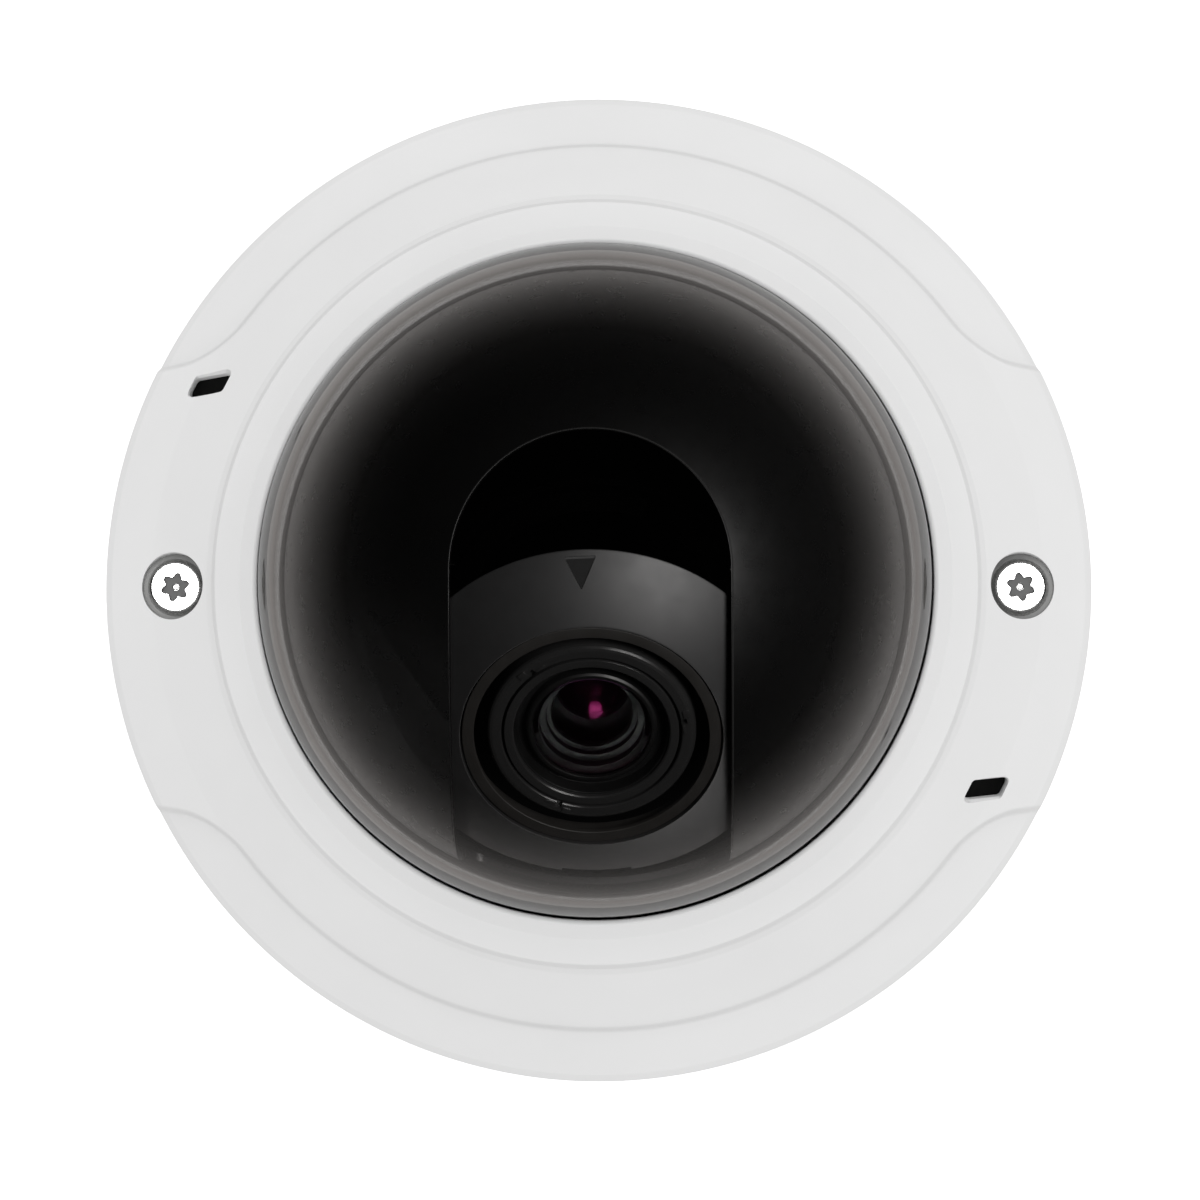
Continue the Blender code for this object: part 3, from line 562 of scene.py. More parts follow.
def cover_angles(radii):
    """Column angles for each row, bent so that the columns follow the wing edges."""
    quarter, middle_edge = column_angles()
    weight = np.clip(1 - np.abs(quarter - middle_edge) / 14.0, 0, 1)
    weight = weight * weight * (3 - 2 * weight)
    bent = quarter + weight * (edge_angle(radii)[:, None] - middle_edge)
    second = 180 - bent[:, ::-1]
    half = np.concatenate([bent, second[:, 1:]], axis=1)
    return np.radians(np.concatenate([half, half[:, 1:-1] + 180], axis=1))


def spaced(outline, reach):
    """The outline with points added so that none are further apart than reach says at that radius."""
    points = [outline[0]]
    for (x, y), (next_x, next_y) in zip(outline, outline[1:]):
        over, up = next_x - x, next_y - y
        parts = max(1, math.ceil(math.hypot(over, up) / reach((x + next_x) / 2)))
        points += [(x + over * i / parts, y + up * i / parts) for i in range(1, parts + 1)]
    return points


def cover_surface(outline, wall_at, inset, spread, reach, rise_until):
    """Points over one side of the cover: the skirt, raised by the band and the wings above rise_until."""
    skirt = np.array(spaced(outline, reach))
    radii, heights = skirt[:, 0], skirt[:, 1]
    angles = cover_angles(radii)
    lift = raised(radii[:, None], angles, wall_at, inset, spread)
    share = np.clip((heights - rise_until) / 3.0, 0, 1)[:, None]
    z = heights[:, None] + lift * share * WING_RISE
    return np.stack([radii[:, None] * np.cos(angles), radii[:, None] * np.sin(angles), z], axis=-1)


def make_cover(look):
    rise = WING_RISE
    outside = [
        (OPENING, 44.1 - rise), (OPENING, COVER_TOP - rise), (OPENING + 0.9, COVER_TOP - rise),
        (61.6, 52.0 - rise), (66.1, 48.8 - rise), (66.9, 45.4 - rise), (67.9, 43.5 - rise),
        (77.3, 31.3 - rise), (STEP_AT + 0.4, 26.8), (86.3, 17.9), (RIM, 15.9), (RIM, SKIRT_BOTTOM),
        (85.1, SKIRT_BOTTOM),
    ]
    outside = rounded(outside, 0.7, closed=False, steps=5)
    inside = [
        (85.1, SKIRT_BOTTOM), (85.1, 15.0), (84.5, 16.2), (82.9, 18.1), (82.9, 16.0), (80.5, 16.0),
        (80.5, 21.0), (75.6, 27.0), (75.0, 30.1 - rise), (64.9, 44.1 - rise), (OPENING, 44.1 - rise),
    ]

    def fine(radius):
        if 76.4 < radius < 79.6:
            return 0.16
        return 0.4 if 79.6 <= radius < 86.2 else 1.2

    upper = cover_surface(outside, STEP_AT, 0.0, 0.75, fine, 11.0)
    lower = cover_surface(inside, STEP_AT - 2.3, 2.0, 0.75, lambda radius: 1.2, 16.0)
    points = np.concatenate([upper[:-1], lower[:-1]])
    faces = woven_grid(points.shape[0], points.shape[1], wrap_rows=True)
    cover = solid("cover_shell_fine", points.reshape(-1, 3), faces)
    tubes = [boss_under_cover("tube", at, 7.4, 20.3) for at in SCREW_PLACES]
    bosses = [boss_under_cover("boss", at, 2.3, 39.2) for at in RETAINER_PLACES]
    fused(cover, *tubes, *bosses)
    seat = measure("screw_washer_left", upright_at(-SCREW_AT, 0)).bottom - 0.3
    stepped = [(0, 15.0), (2.8, 15.0), (2.8, seat), (5.9, seat), (5.9, 60.0), (0, 60.0)]
    bores = [turned("bore", stepped, upright_at(*at), 96, edge=0) for at in SCREW_PLACES]
    carved(cover, *bores, *(vent_cutter(side) for side in (-1, 1)))
    stand_in(cover, look.white)


def wall_middle(radius):
    """Height of the middle of the cover's wall under the band and the wings."""
    return float(np.interp(radius, [OPENING, 64.9, 76.0, 85.5], [47.0, 45.6, 31.0, 20.6]))


def boss_under_cover(name, at, radius, bottom, steps=64):
    """A post that hangs from the sloping wall of the cover."""
    spokes = [polar(radius, 360 * i / steps) for i in range(steps)]
    plan = [(at[0] + x, at[1] + y) for x, y in spokes]
    low = [(x, y, bottom) for x, y in plan]
    high = [(x, y, wall_middle(math.hypot(x, y))) for x, y in plan]
    peak = (*at, wall_middle(math.hypot(*at)))
    sides = [(i, (i + 1) % steps, steps + (i + 1) % steps, steps + i) for i in range(steps)]
    fan = [(steps + i, steps + (i + 1) % steps, 2 * steps) for i in range(steps)]
    return solid(name, [*low, *high, peak], [tuple(range(steps))[::-1], *sides, *fan])


# ---- vent slots in the wings ----
VENT_AT = (-68.3, 35.7)  # left vent; the right one is half a turn round
VENT_HALF = (4.5, 1.75)
VENT_RISE = 6.0  # degrees from X to the long sides
VENT_DEPTH = 1.9
VENT_LEAN = (0.35, -0.6, -2.2)  # how the left slot runs down to its guard
VENT_END = 62.0  # degrees from the long sides to the ends
STRAND_PITCH = 0.178
WING_SLOPE = math.atan2(12.1, 10.8)


def vent_frame(side, depth=0.0):
    """On the wing over a vent: X along the slot, Z out of the wing, sunk by a depth."""
    radius = math.hypot(*VENT_AT)
    out = Vector((-side * VENT_AT[0], -side * VENT_AT[1], 0)) / radius
    normal = out * math.sin(WING_SLOPE) + Vector((0, 0, math.cos(WING_SLOPE)))
    rise = math.radians(VENT_RISE)
    along = Vector((math.cos(rise), math.sin(rise), 0))
    along = (along - normal * along.dot(normal)).normalized()
    across = normal.cross(along)
    centre = out * radius + Vector((0, 0, 31.3 - (radius - 77.3) * math.tan(WING_SLOPE))) - normal * depth
    turn = Matrix((along, across, normal)).transposed().to_4x4()
    return Matrix.Translation(centre * MM) @ turn


def vent_outline(grow, corner):
    """The slot's plan outline laid on the wing, in the frame of the vent."""
    half_x, half_y = VENT_HALF[0] + grow, VENT_HALF[1] + grow
    lean = half_y / math.tan(math.radians(VENT_END))
    rise = math.tan(math.radians(VENT_RISE))
    points = [(u * (half_x - lean) + v * lean, v * half_y) for u, v in CORNERS]
    return rounded([(x, y + rise * x) for x, y in points], corner, steps=8)


def vent_cutter(side):
    """A tapered cutter along the normal of the wing, over the slot's plan outline."""
    place = vent_frame(side)
    to_local = place.inverted()
    normal = place.to_3x3() @ Vector((0, 0, 1))
    origin = place.translation
    middle_at = Vector((-side * VENT_AT[0], -side * VENT_AT[1], 0))

    def laid(outline):
        for x, y in outline:
            point = (middle_at + Vector((-side * x, -side * y, 0))) * MM
            away = point - origin
            point.z = origin.z - (normal.x * away.x + normal.y * away.y) / normal.z
            yield to_local @ point / MM

    wide = list(laid(vent_outline(0.25, 1.1)))
    narrow = list(laid(vent_outline(-0.1, 0.9)))
    lean = Vector((-side * VENT_LEAN[0], -side * VENT_LEAN[1], VENT_LEAN[2]))
    lean = to_local.to_3x3() @ lean / VENT_DEPTH
    levels = [(wide, 2.0), (wide, 0.0), (narrow, -0.6), (narrow, -5.0)]
    loops = [[(p.x - lean.x * z, p.y - lean.y * z, z) for p in loop] for loop, z in levels]
    return lofted("vent", loops, place)


def make_vent_guards(look):
    """Woven guards behind the slots: crossed strands over a thin backing sheet."""
    for side, word in ((-1, "left"), (1, "right")):
        place = vent_frame(side, VENT_DEPTH)
        sheet = block(f"vent_mesh_{word}_fine", (12.0, 7.0, 0.15), (0, 0, -0.2), place)
        rows = [(0, -3.4 + index * STRAND_PITCH, 0) for index in range(39)]
        columns = [(-5.8 + index * STRAND_PITCH, 0, 0.09) for index in range(66)]
        strands = [block("strand", (12.0, 0.1, 0.1), at, place) for at in rows]
        strands += [block("strand", (0.1, 7.0, 0.1), at, place) for at in columns]
        joined(sheet, *strands)
        stand_in(sheet, look.black)


def half_shell(outer, inner, foot):
    """The profile of a half round shell about the pivot, with a foot between its two faces."""
    profile = arc(outer, PIVOT.z, 0, 90, 64) + foot + arc(inner, PIVOT.z, 90, 0, 64)
    profile[0] = (0.0, PIVOT.z + outer)
    profile[-1] = (0.0, PIVOT.z + inner)
    return profile


def make_bubble(look):
    size = measure("dome_bubble")
    outer = size.top - PIVOT.z - 0.25
    inner = outer - 2.7
    flange_top = size.bottom + 2.5
    foot = [(outer, PIVOT.z - 3), (outer, flange_top), (size.outer, flange_top)]
    foot += [(size.outer, size.bottom), (inner, size.bottom), (inner, PIVOT.z - 3)]
    profile = half_shell(outer, inner, rounded(foot, 0.3, closed=False))
    stand_in(turned("dome_bubble_fine", profile, steps=256, edge=0), look.bubble)


# ---- liner ----
SLOT = 22.7  # half width of the slot, and radius of its round end on the dome axis
SLOT_FLOOR = 50.0
SLOT_CORNER = 3.0
SLOT_BEAD_END = -44.5
BEAD = 0.42  # width of the bead whose lighter colour paints the highlight line round the slot


def make_liner(look):
    size = measure("dome_liner")
    outer, inner = size.outer, size.outer - 1.4
    profile = half_shell(outer, inner, [(outer, size.bottom), (inner, size.bottom)])
    liner = turned("dome_liner_fine", profile, steps=192, edge=0)
    round_end = [polar(SLOT, 180 * i / 64) for i in range(65)]
    window = plate("window", round_end + [(-SLOT, -70.0), (SLOT, -70.0)], SLOT_FLOOR, 130.0)
    shape = bmesh.new()
    shape.from_mesh(window.data)

    def low_and_long(edge):
        """Whether an edge runs along the foot of one of the window's straight sides."""
        low = all(v.co.z < (SLOT_FLOOR + 1) * MM for v in edge.verts)
        at_side = all(abs(abs(v.co.x) - SLOT * MM) < 1e-5 for v in edge.verts)
        return low and at_side and abs(edge.verts[0].co.y - edge.verts[1].co.y) > 0.05

    corners = [edge for edge in shape.edges if low_and_long(edge)]
    bmesh.ops.bevel(shape, geom=corners, offset=SLOT_CORNER * MM, segments=6, profile=0.5, affect="EDGES")
    shape.to_mesh(window.data)
    shape.free()
    carved(liner, window)
    stand_in(liner, look.liner)
    inside_lit.append(liner)
    liner_lit.append(liner)
    make_slot_bead(outer, look)


def make_slot_bead(radius, look):
    """A fine bead, lighter than the liner, that paints the highlight where the slot's edge leaves the round
    of the liner.
    """
    straight = np.linspace(SLOT_BEAD_END, 0.0, 40, endpoint=False)
    path = [(SLOT, y, 1.0, 0.0) for y in straight]
    path += [(*polar(SLOT, angle), *polar(1.0, angle)) for angle in np.linspace(0, 180, 97)]
    path += [(-SLOT, y, -1.0, 0.0) for y in straight[::-1]]
    section = ((0.0, 0.12), (BEAD / 2, -0.04), (BEAD, 0.02), (BEAD, 0.8), (0.0, 0.8))  # away, sunk
    loops = []
    for x, y, out_x, out_y in path:
        loop = [(x + out_x * away, y + out_y * away, sunk) for away, sunk in section]
        loops.append([(u, v, PIVOT.z + math.sqrt(radius**2 - u**2 - v**2) - sunk) for u, v, sunk in loop])
    bead = lofted("liner_slot_bead", loops)
    piece(bead, "pan", look.painted_edge_highlight, "black_plastic")
    inside_lit.append(bead)


# ---- camera head ----
CAP_EDGE = 39.2  # degrees from the lens axis to the cap's rim
MARK_ANGLE = 34.9
MARK_HALF = 2.95
NOTCH_TURN = -92.0
NOTCH_HALF = 5.8
NOTCH_DEPTH = 1.9  # degrees
RIM_BEND = 0.012  # half the curvature of the cap's rim, per millimetre


def on_cap(turn, angle):
    """A frame at the pivot: Z runs through a place on the cap, Y toward the cap's rim."""
    return HEAD_FRAME @ spun(turn - 90) @ Matrix.Rotation(math.radians(-angle), 4, "X")


def make_cap(look):
    opening = measure("head_cap", HEAD_FRAME).inner
    outer, inner = 51.0, 49.2
    outline = arc(outer, 0, math.degrees(math.asin(opening / outer)), CAP_EDGE, 28)
    outline += arc(inner, 0, CAP_EDGE, math.degrees(math.asin(opening / inner)), 24)
    cap = turned("head_cap_fine", outline, HEAD_FRAME, steps=192, edge=0.28)
    across = np.linspace(-NOTCH_HALF, NOTCH_HALF, 13)
    notch_outline = [(x, -RIM_BEND * x * x) for x in across] + [(NOTCH_HALF, 4.0), (-NOTCH_HALF, 4.0)]
    notch_frame = on_cap(NOTCH_TURN, CAP_EDGE - NOTCH_DEPTH)
    notch = plate("notch", notch_outline, outer - 4.0, outer + 4.0, notch_frame)
    outline = rounded([(-MARK_HALF, 2.9), (0.0, -3.3), (MARK_HALF, 2.9)], 0.2)
    mark_frame = on_cap(90, MARK_ANGLE)
    recess = plate("recess", outline, outer - 0.35, outer + 1.0, mark_frame, taper=0.86)
    carved(cap, notch, recess)
    post_frames = [HEAD_FRAME @ upright_at(*polar(24.0, angle)) for angle in (60, 180, 300)]
    posts = [rod("post", 2.0, 10.5, 43.4, place) for place in post_frames]
    stand_in(cap, look.cap)
    piece(joined(*posts, name="head_cap_posts"), "head", look.black, "grey_plastic")
    # A thin near-black sheet at the bottom of the triangular recess paints its shade; the cap is the same
    # grey there.
    shade_inlay_outline = [(x * 0.8, y * 0.8 - 0.05) for x, y in outline]
    shade_inlay = plate("cap_mark", shade_inlay_outline, outer - 0.5, outer - 0.28, mark_frame)
    piece(shade_inlay, "head", look.mark, "black_plastic")
    inside_lit.extend((cap, shade_inlay))


def make_lens_group(look):
    trim = measure("lens_trim_ring", HEAD_FRAME)
    profile = [
        (trim.outer, trim.bottom), (trim.outer, trim.top - 0.35), (trim.inner, trim.top - 0.2),
        (trim.inner, trim.top - 1.1), (trim.outer - 0.5, trim.top - 1.5), (trim.outer - 0.5, trim.bottom),
    ]
    stand_in(turned("lens_trim_ring_fine", profile, HEAD_FRAME, 160), look.trim)

    size = measure("front_retaining_ring", HEAD_FRAME)
    profile = [
        (size.outer, size.bottom), (size.outer, size.top), (13.0, size.top), (12.75, size.top - 0.25),
        (12.7, size.top - 0.9), (12.7, size.bottom),
    ]
    stand_in(turned("front_retaining_ring_fine", profile, HEAD_FRAME, 160, edge=0.12), look.gloss)
    profile = [
        (12.7, size.top - 0.75), (12.45, size.top - 0.75), (12.2, size.top - 3.1), (10.9, size.top - 3.1),
        (10.7, size.top - 1.6), (10.35, size.top - 1.3), (size.inner, size.top - 1.3),
        (size.inner, size.bottom + 0.1), (12.7, size.bottom + 0.1),
    ]
    trough = turned("front_lens_trough", profile, HEAD_FRAME, 160, edge=0.08)
    piece(trough, "head", look.lens_black, "black_trim")
    inside_lit.append(trough)

    size = measure("lens_barrel", HEAD_FRAME)
    top = size.top
    profile = [
        (14.4, top), (14.4, size.bottom + 2.2), (size.outer, size.bottom + 2.2), (size.outer, size.bottom),
        (11.8, size.bottom), (11.8, 37.9), (6.4, 37.9), (6.2, 38.2), (6.5, 38.7), (7.2, 38.8), (7.2, 39.7),
        (8.2, 39.9), (8.3, top),
    ]
    stand_in(turned("lens_barrel_fine", profile, HEAD_FRAME, 160, edge=0.08), look.lens_black)

    size = measure("front_lens", HEAD_FRAME)
    crown = 1.7
    bend = (size.outer**2 + crown**2) / (2 * crown)
    half = math.degrees(math.asin(size.outer / bend))
    profile = arc(bend, size.top - bend, 0, half, 20) + [(size.outer, 42.0), (8.4, 41.3)]
    profile += [(x, 42.6 - (x / 8.4) ** 2 * 1.3) for x in (6.5, 4.5, 2.5, 1.0, 0.0)]
    stand_in(turned("front_lens_fine", profile, HEAD_FRAME, 128, edge=0), look.glass)

    size = measure("inner_lens", HEAD_FRAME)
    bend = 22.0
    profile = arc(bend, size.top - bend, 0, math.degrees(math.asin(size.outer / bend)), 20)
    profile[-1] = (size.outer, max(profile[-1][1], size.bottom + 0.4))
    profile += [(size.outer, size.bottom), (0.0, size.bottom)]
    stand_in(turned("inner_lens_fine", profile, HEAD_FRAME, 96, edge=0), look.glass)

    stand_in(ring_like("iris_plate", HEAD_FRAME, inner=5.0), look.chip)


def make_focus_ring(look):
    size = measure("focus_ring", HEAD_FRAME)
    top = size.top
    profile = [
        (size.inner, size.bottom), (size.outer, size.bottom), (size.outer, top - 0.9),
        (size.outer - 0.15, top - 0.45), (size.outer - 0.45, top - 0.15), (size.outer - 0.9, top),
        (size.inner + 0.2, top), (size.inner, top - 0.2),
    ]
    focus = turned("focus_ring_fine", profile, HEAD_FRAME, 160, edge=0.1)
    notches = []
    claws = []
    for angle in (8, 128, 248):
        place = HEAD_FRAME @ spun(angle)
        notches.append(block("notch", (1.5, 1.0, 2.0), (15.0, -0.6, top), place))
        claws.append(block("claw", (1.1, 1.5, 0.5), (15.9, 0.9, top), place, edge=0.12))
        claws.append(block("claw", (0.5, 1.9, 0.35), (15.05, -2.2, top), place, edge=0.1))
    carved(focus, *notches)
    joined(focus, *claws)
    stand_in(focus, look.gloss)


# ---- cover screws and washers ----
SOCKET_TURN = {"left": 17.0, "right": 40.0}  # where each screw came to rest, in degrees
SOCKET_LOBES = 6


def make_cover_screw(side, word, look):
    place = upright_at(side * SCREW_AT, 0.0)
    size = measure(f"cover_screw_{word}", place)
    top = size.top
    profile = [
        (0.0, top - 0.05), (4.15, top - 0.05), (4.45, top - 0.3), (4.6, top - 0.9), (size.outer, top - 3.3),
        (2.5, top - 3.5), (2.4, top - 4.2), (2.4, size.bottom + 1), (1.6, size.bottom), (0.0, size.bottom),
    ]
    screw = turned(f"cover_screw_{word}_fine", profile, place, 96, edge=0.1)
    lobes = []
    for turn in np.arange(0.0, 360.0, 3.75):
        wave = 0.5 + 0.5 * math.cos(math.radians(SOCKET_LOBES * turn))
        lobes.append(polar(1.85 + 0.85 * wave**0.8, turn + SOCKET_TURN[word]))
    carved(screw, plate("socket", lobes, top - 1.8, top + 1.0, place, taper=0.9))
    pin = rod("pin", 0.55, top - 2.0, top - 0.5, place, 24, edge=0.2)
    joined(screw, pin)
    # A grey plate on the socket's floor paints the shade inside the steel socket.
    floor = plate(f"socket_floor_{word}", [(x * 0.9, y * 0.9) for x, y in lobes], top - 1.9, top - 1.6, place)
    carved(floor, rod("pin_hole", 0.6, top - 2.5, top - 1.0, place, 24, edge=0))
    piece(floor, "cover", look.socket, "stainless_steel")
    stand_in(screw, look.steel)
    metal_lit.append(screw)

    washer = ring_like(f"screw_washer_{word}", place)
    tooth_at = (4.7, 0, measure(f"screw_washer_{word}", place).top)
    turns = [place @ spun(9 * index) for index in range(40)]
    joined(washer, *[block("tooth", (0.75, 0.34, 0.5), tooth_at, turn, edge=0.06) for turn in turns])
    stand_in(washer, look.nylon)
    metal_lit.append(washer)


# ---- base and its fittings ----
WALL_HOLES = [polar(46.0, angle) for angle in (0, 120, 240)]
BASE_SCREWS = [polar(72.5, angle) for angle in (50, 130, 270)]
PILLARS = [polar(56.3, angle) for angle in (30, 150, 270)]
GROMMET_AT = (0.0, 36.0)
CONDUIT_AT = (-30.0, -12.0)
MEMBRANE_AT = (30.0, -30.0)
PAN_LOCK_AT = (0.0, 43.5)


def holes(places, radius, bottom, top, steps=48):
    return [rod("hole", radius, bottom, top, upright_at(*at), steps, edge=0) for at in places]


def make_base(look):
    size = measure("base_housing")
    plinth = size.outer
    profile = [
        (0, 2.6), (77.8, 2.6), (77.8, 0), (79.7, 0), (79.7, 2.0), (84.3, 2.0), (84.3, 0), (plinth, 0),
        (plinth, 6.9), (plinth - 0.7, 7.6), (83, 7.6), (83, 13), (80.4, 13), (80.4, 5.6), (0, 5.6),
    ]
    base = turned("base_housing_fine", profile, steps=256, edge=0.25)
    bosses = [rod("boss", 5.0, 5.0, 19.9, upright_at(*at), edge=0.3) for at in SCREW_PLACES]
    bosses += [rod("pillar", 4.0, 5.0, 13.2, upright_at(*at), edge=0.3) for at in PILLARS]
    bosses.append(rod("conduit_boss", 13.0, 5.0, 9.5, upright_at(*CONDUIT_AT), 96, edge=0.3))
    bosses += [block("rib", (10.0, 1.2, 5.0), (75.8, 0, 7.9), spun(turn)) for turn in range(15, 360, 60)]
    fused(base, *bosses)
    bores = holes(SCREW_PLACES, 2.8, 7.0, 25.0) + holes(PILLARS, 1.7, 6.8, 20.0)
    bores += holes(BASE_SCREWS, 2.6, 1.0, 9.0) + holes(WALL_HOLES, 5.0, 1.0, 9.0)
    bores += holes([GROMMET_AT], 9.6, 1.0, 9.0, 96) + holes([CONDUIT_AT], 10.3, 1.0, 12.0, 96)
    bores += holes([MEMBRANE_AT], 3.2, 1.0, 9.0)
    carved(base, *bores)
    stand_in(base, look.white)

    plate_outer = measure("mounting_plate").outer
    backing = ring("mounting_plate_fine", 14.0, plate_outer, 0.0, 2.2, steps=192, edge=0.25)
    bores = holes([GROMMET_AT], 13.0, -1, 4, 96) + holes([CONDUIT_AT], 13.5, -1, 4, 96)
    bores += holes([MEMBRANE_AT], 7.0, -1, 4) + holes(WALL_HOLES, 2.6, -1, 4) + holes(BASE_SCREWS, 2.6, -1, 4)
    carved(backing, *bores)
    stand_in(backing, look.zinc)

    for node in ("rear_gasket", "cover_seal"):
        stand_in(ring_like(node, steps=256, edge=0.7), look.rubber)


def make_fittings(look):
    grommet = [
        (0.0, 5.0), (5.2, 5.0), (6.5, 6.4), (7.0, 8.0), (11.5, 8.0), (11.5, 5.95), (9.2, 5.95), (9.2, 2.25),
        (11.5, 2.25), (11.5, 0.8), (6.5, 0.8), (6.0, 3.5), (0.0, 3.5),
    ]
    stand_in(turned("cable_grommet_fine", grommet, upright_at(*GROMMET_AT), 96, edge=0.35), look.rubber)
    at = upright_at(*CONDUIT_AT)
    plug = [(0.0, 12.9), (12.1, 12.9), (12.6, 12.4), (12.6, 10.9), (9.9, 10.9), (9.9, 2.9), (0.0, 2.9)]
    plug = turned("conduit_plug_fine", plug, at, 96, edge=0.2)
    carved(plug, block("slot", (16, 2, 2), (0, 0, 13), at))
    stand_in(plug, look.black)
    stand_in(ring("conduit_plug_seal_fine", 10.25, 12.4, 9.8, 10.6, at, edge=0.35), look.rubber)
    vent = [(0.0, 8.2), (4.2, 8.2), (5.4, 7.9), (6.0, 7.3), (6.0, 5.9), (2.8, 5.9), (2.8, 2.9), (0.0, 2.9)]
    stand_in(turned("vent_membrane_fine", vent, upright_at(*MEMBRANE_AT), 64, edge=0.25), look.membrane)


def cross_screw(node, place, head, seat, top, shank, tip, finish):
    """A pan head screw with a cross recess and a ringed shank, its head toward +Z of its frame."""
    rise = top - seat
    profile = [(0.0, top), (head * 0.55, top - rise * 0.06), (head * 0.88, top - rise * 0.3)]
    profile += [(head, seat + rise * 0.25), (head, seat), (shank, seat)]
    turns = max(2, int((seat - tip) / 1.1))
    step = (seat - 0.6 - tip) / turns
    for index in range(turns):
        z = seat - 0.6 - index * step
        profile += [(shank, z), (shank * 0.84, z - step / 2)]
    profile += [(shank * 0.7, tip), (0.0, tip)]
    screw = turned(node + "_fine", profile, place, 48, edge=0.05)
    size = (head * 1.15, head * 0.26, rise * 1.1)
    turns = [place @ Matrix.Rotation(turn, 4, "Z") for turn in (0.4, 0.4 + math.pi / 2)]
    carved(screw, *[block("recess", size, (0, 0, top), turn) for turn in turns])
    stand_in(screw, finish)


def make_small_screws(look):
    """The numbers are each screw's head radius, seat, top, shank radius and tip."""
    for index, at in enumerate(BASE_SCREWS, 1):
        cross_screw(f"base_screw_{index}", upright_at(*at), 3.8, 5.9, 8.4, 2.2, 0.4, look.zinc)
    for index, at in enumerate(PILLARS, 1):
        cross_screw(f"chassis_screw_{index}", upright_at(*at), 2.4, 24.4, 26.2, 1.4, 7.2, look.zinc)
    for index, at in enumerate(RETAINER_PLACES, 1):
        under = moved(*at, 36.3) @ Matrix.Rotation(math.pi, 4, "X")
        cross_screw(f"retainer_screw_{index}", under, 2.3, 0.0, 1.7, 1.1, -6.2, look.zinc)
    cross_screw("pan_lock_screw", upright_at(*PAN_LOCK_AT), 3.4, 31.7, 34.0, 1.4, 25.2, look.dark_steel)
    for name, side in (("tilt_pivot_pin", -1), ("tilt_lock_screw", 1)):
        at = moved(side * 32.8, 0, PIVOT.z) @ Matrix.Rotation(side * math.pi / 2, 4, "Y")
        cross_screw(name, at, 5.0, 0.0, 2.3, 3.0, -6.0, look.dark_steel)


def make_cover_rings(look):
    stand_in(ring_like("bubble_gasket", steps=256, edge=0.5), look.rubber)
    clamp = ring_like("bubble_retainer", steps=256)
    carved(clamp, *holes(RETAINER_PLACES, 1.6, 30.0, 45.0))
    stand_in(clamp, look.aluminium)


# ---- electronics ----
ON_BOARD = 15.4  # height at which the larger parts stand
BOARD_TOP = 15.1


def component_frame(radius, degrees):
    """Standing on the board, X pointing away from its centre."""
    return moved(*polar(radius, degrees), ON_BOARD) @ spun(degrees)


def make_board(look):
    size = measure("main_board")
    board = rod("main_board_fine", size.outer, size.bottom, size.top, steps=192, edge=0.12)
    carved(board, *holes(PILLARS, 1.7, 12.0, 17.0))
    stand_in(board, look.board)
    chance = np.random.default_rng(12)
    # Places that are taken already: the chip, the connectors, the button and the pillars, with their radii.
    busy = [(0.0, 0.0, 24.0), (*polar(63, 90), 15.5), (*polar(62, 48), 11.5), (*polar(62, 132), 13.0)]
    busy += [(*polar(61, 235), 12.0), (*polar(62, 285), 5.5), (*polar(62, 302), 4.0)]
    busy += [(*at, 7.0) for at in PILLARS]
    parts = {"dark": [], "tan": [], "metal": [], "track": []}
    top = BOARD_TOP
    for _ in range(420):
        radius, angle = 66.0 * math.sqrt(chance.random()), 360 * chance.random()
        kind = chance.random()
        turn = int(chance.integers(0, 4)) * 90
        x, y = polar(radius, angle)
        reach = 4.2 if kind < 0.12 else 1.5
        if radius + reach > 67.5 or any(math.hypot(x - u, y - v) < r + reach for u, v, r in busy):
            continue
        busy.append((x, y, reach))
        at = upright_at(x, y, turn)
        if kind < 0.06:
            parts["dark"].append(block("chip", (5.4, 4.2, 1.0), (0, 0, top + 0.6), at, edge=0.12))
            for side in (-1, 1):
                for lead in range(4):
                    foot = (-1.8 + 1.2 * lead, side * 2.4, top + 0.15)
                    parts["metal"].append(block("lead", (0.4, 0.8, 0.35), foot, at))
        elif kind < 0.12:
            parts["metal"].append(rod("can", 2.2, top, top + 4.6, at, 40, edge=0.35))
            parts["dark"].append(block("foot", (4.8, 4.8, 0.6), (0, 0, top + 0.3), at, edge=0.1))
        else:
            tan = kind < 0.6
            height, edge, end = (0.6, 0.06, (0.3, 0.86, 0.64)) if tan else (0.4, 0.05, (0.3, 0.84, 0.42))
            z = top + height / 2
            body = block("body", (1.0, 0.8, height), (0, 0, z), at, edge=edge)
            parts["tan" if tan else "dark"].append(body)
            parts["metal"] += [block("end", end, (side * 0.6, 0, z), at) for side in (-1, 1)]
    for index in range(46):
        angle = 360 * index / 46 + 3 * chance.random()
        start, length = 26.0 + 8 * chance.random(), 8.0 + 16.0 * chance.random()
        at = spun(angle)
        parts["track"].append(block("track", (length, 0.35, 0.1), (start + length / 2, 0, top + 0.03), at))
        parts["track"].append(rod("pad", 0.55, top, top + 0.09, at @ upright_at(start + length, 0), 16, 0))
    finishes = {"dark": look.chip, "tan": look.ceramic, "metal": look.solder, "track": look.track}
    slots = {"dark": "epoxy", "tan": "epoxy", "metal": "zinc_steel", "track": "circuit_board"}
    for kind, solids in parts.items():
        piece(joined(*solids, name=f"board_{kind}_parts"), "base", finishes[kind], slots[kind])


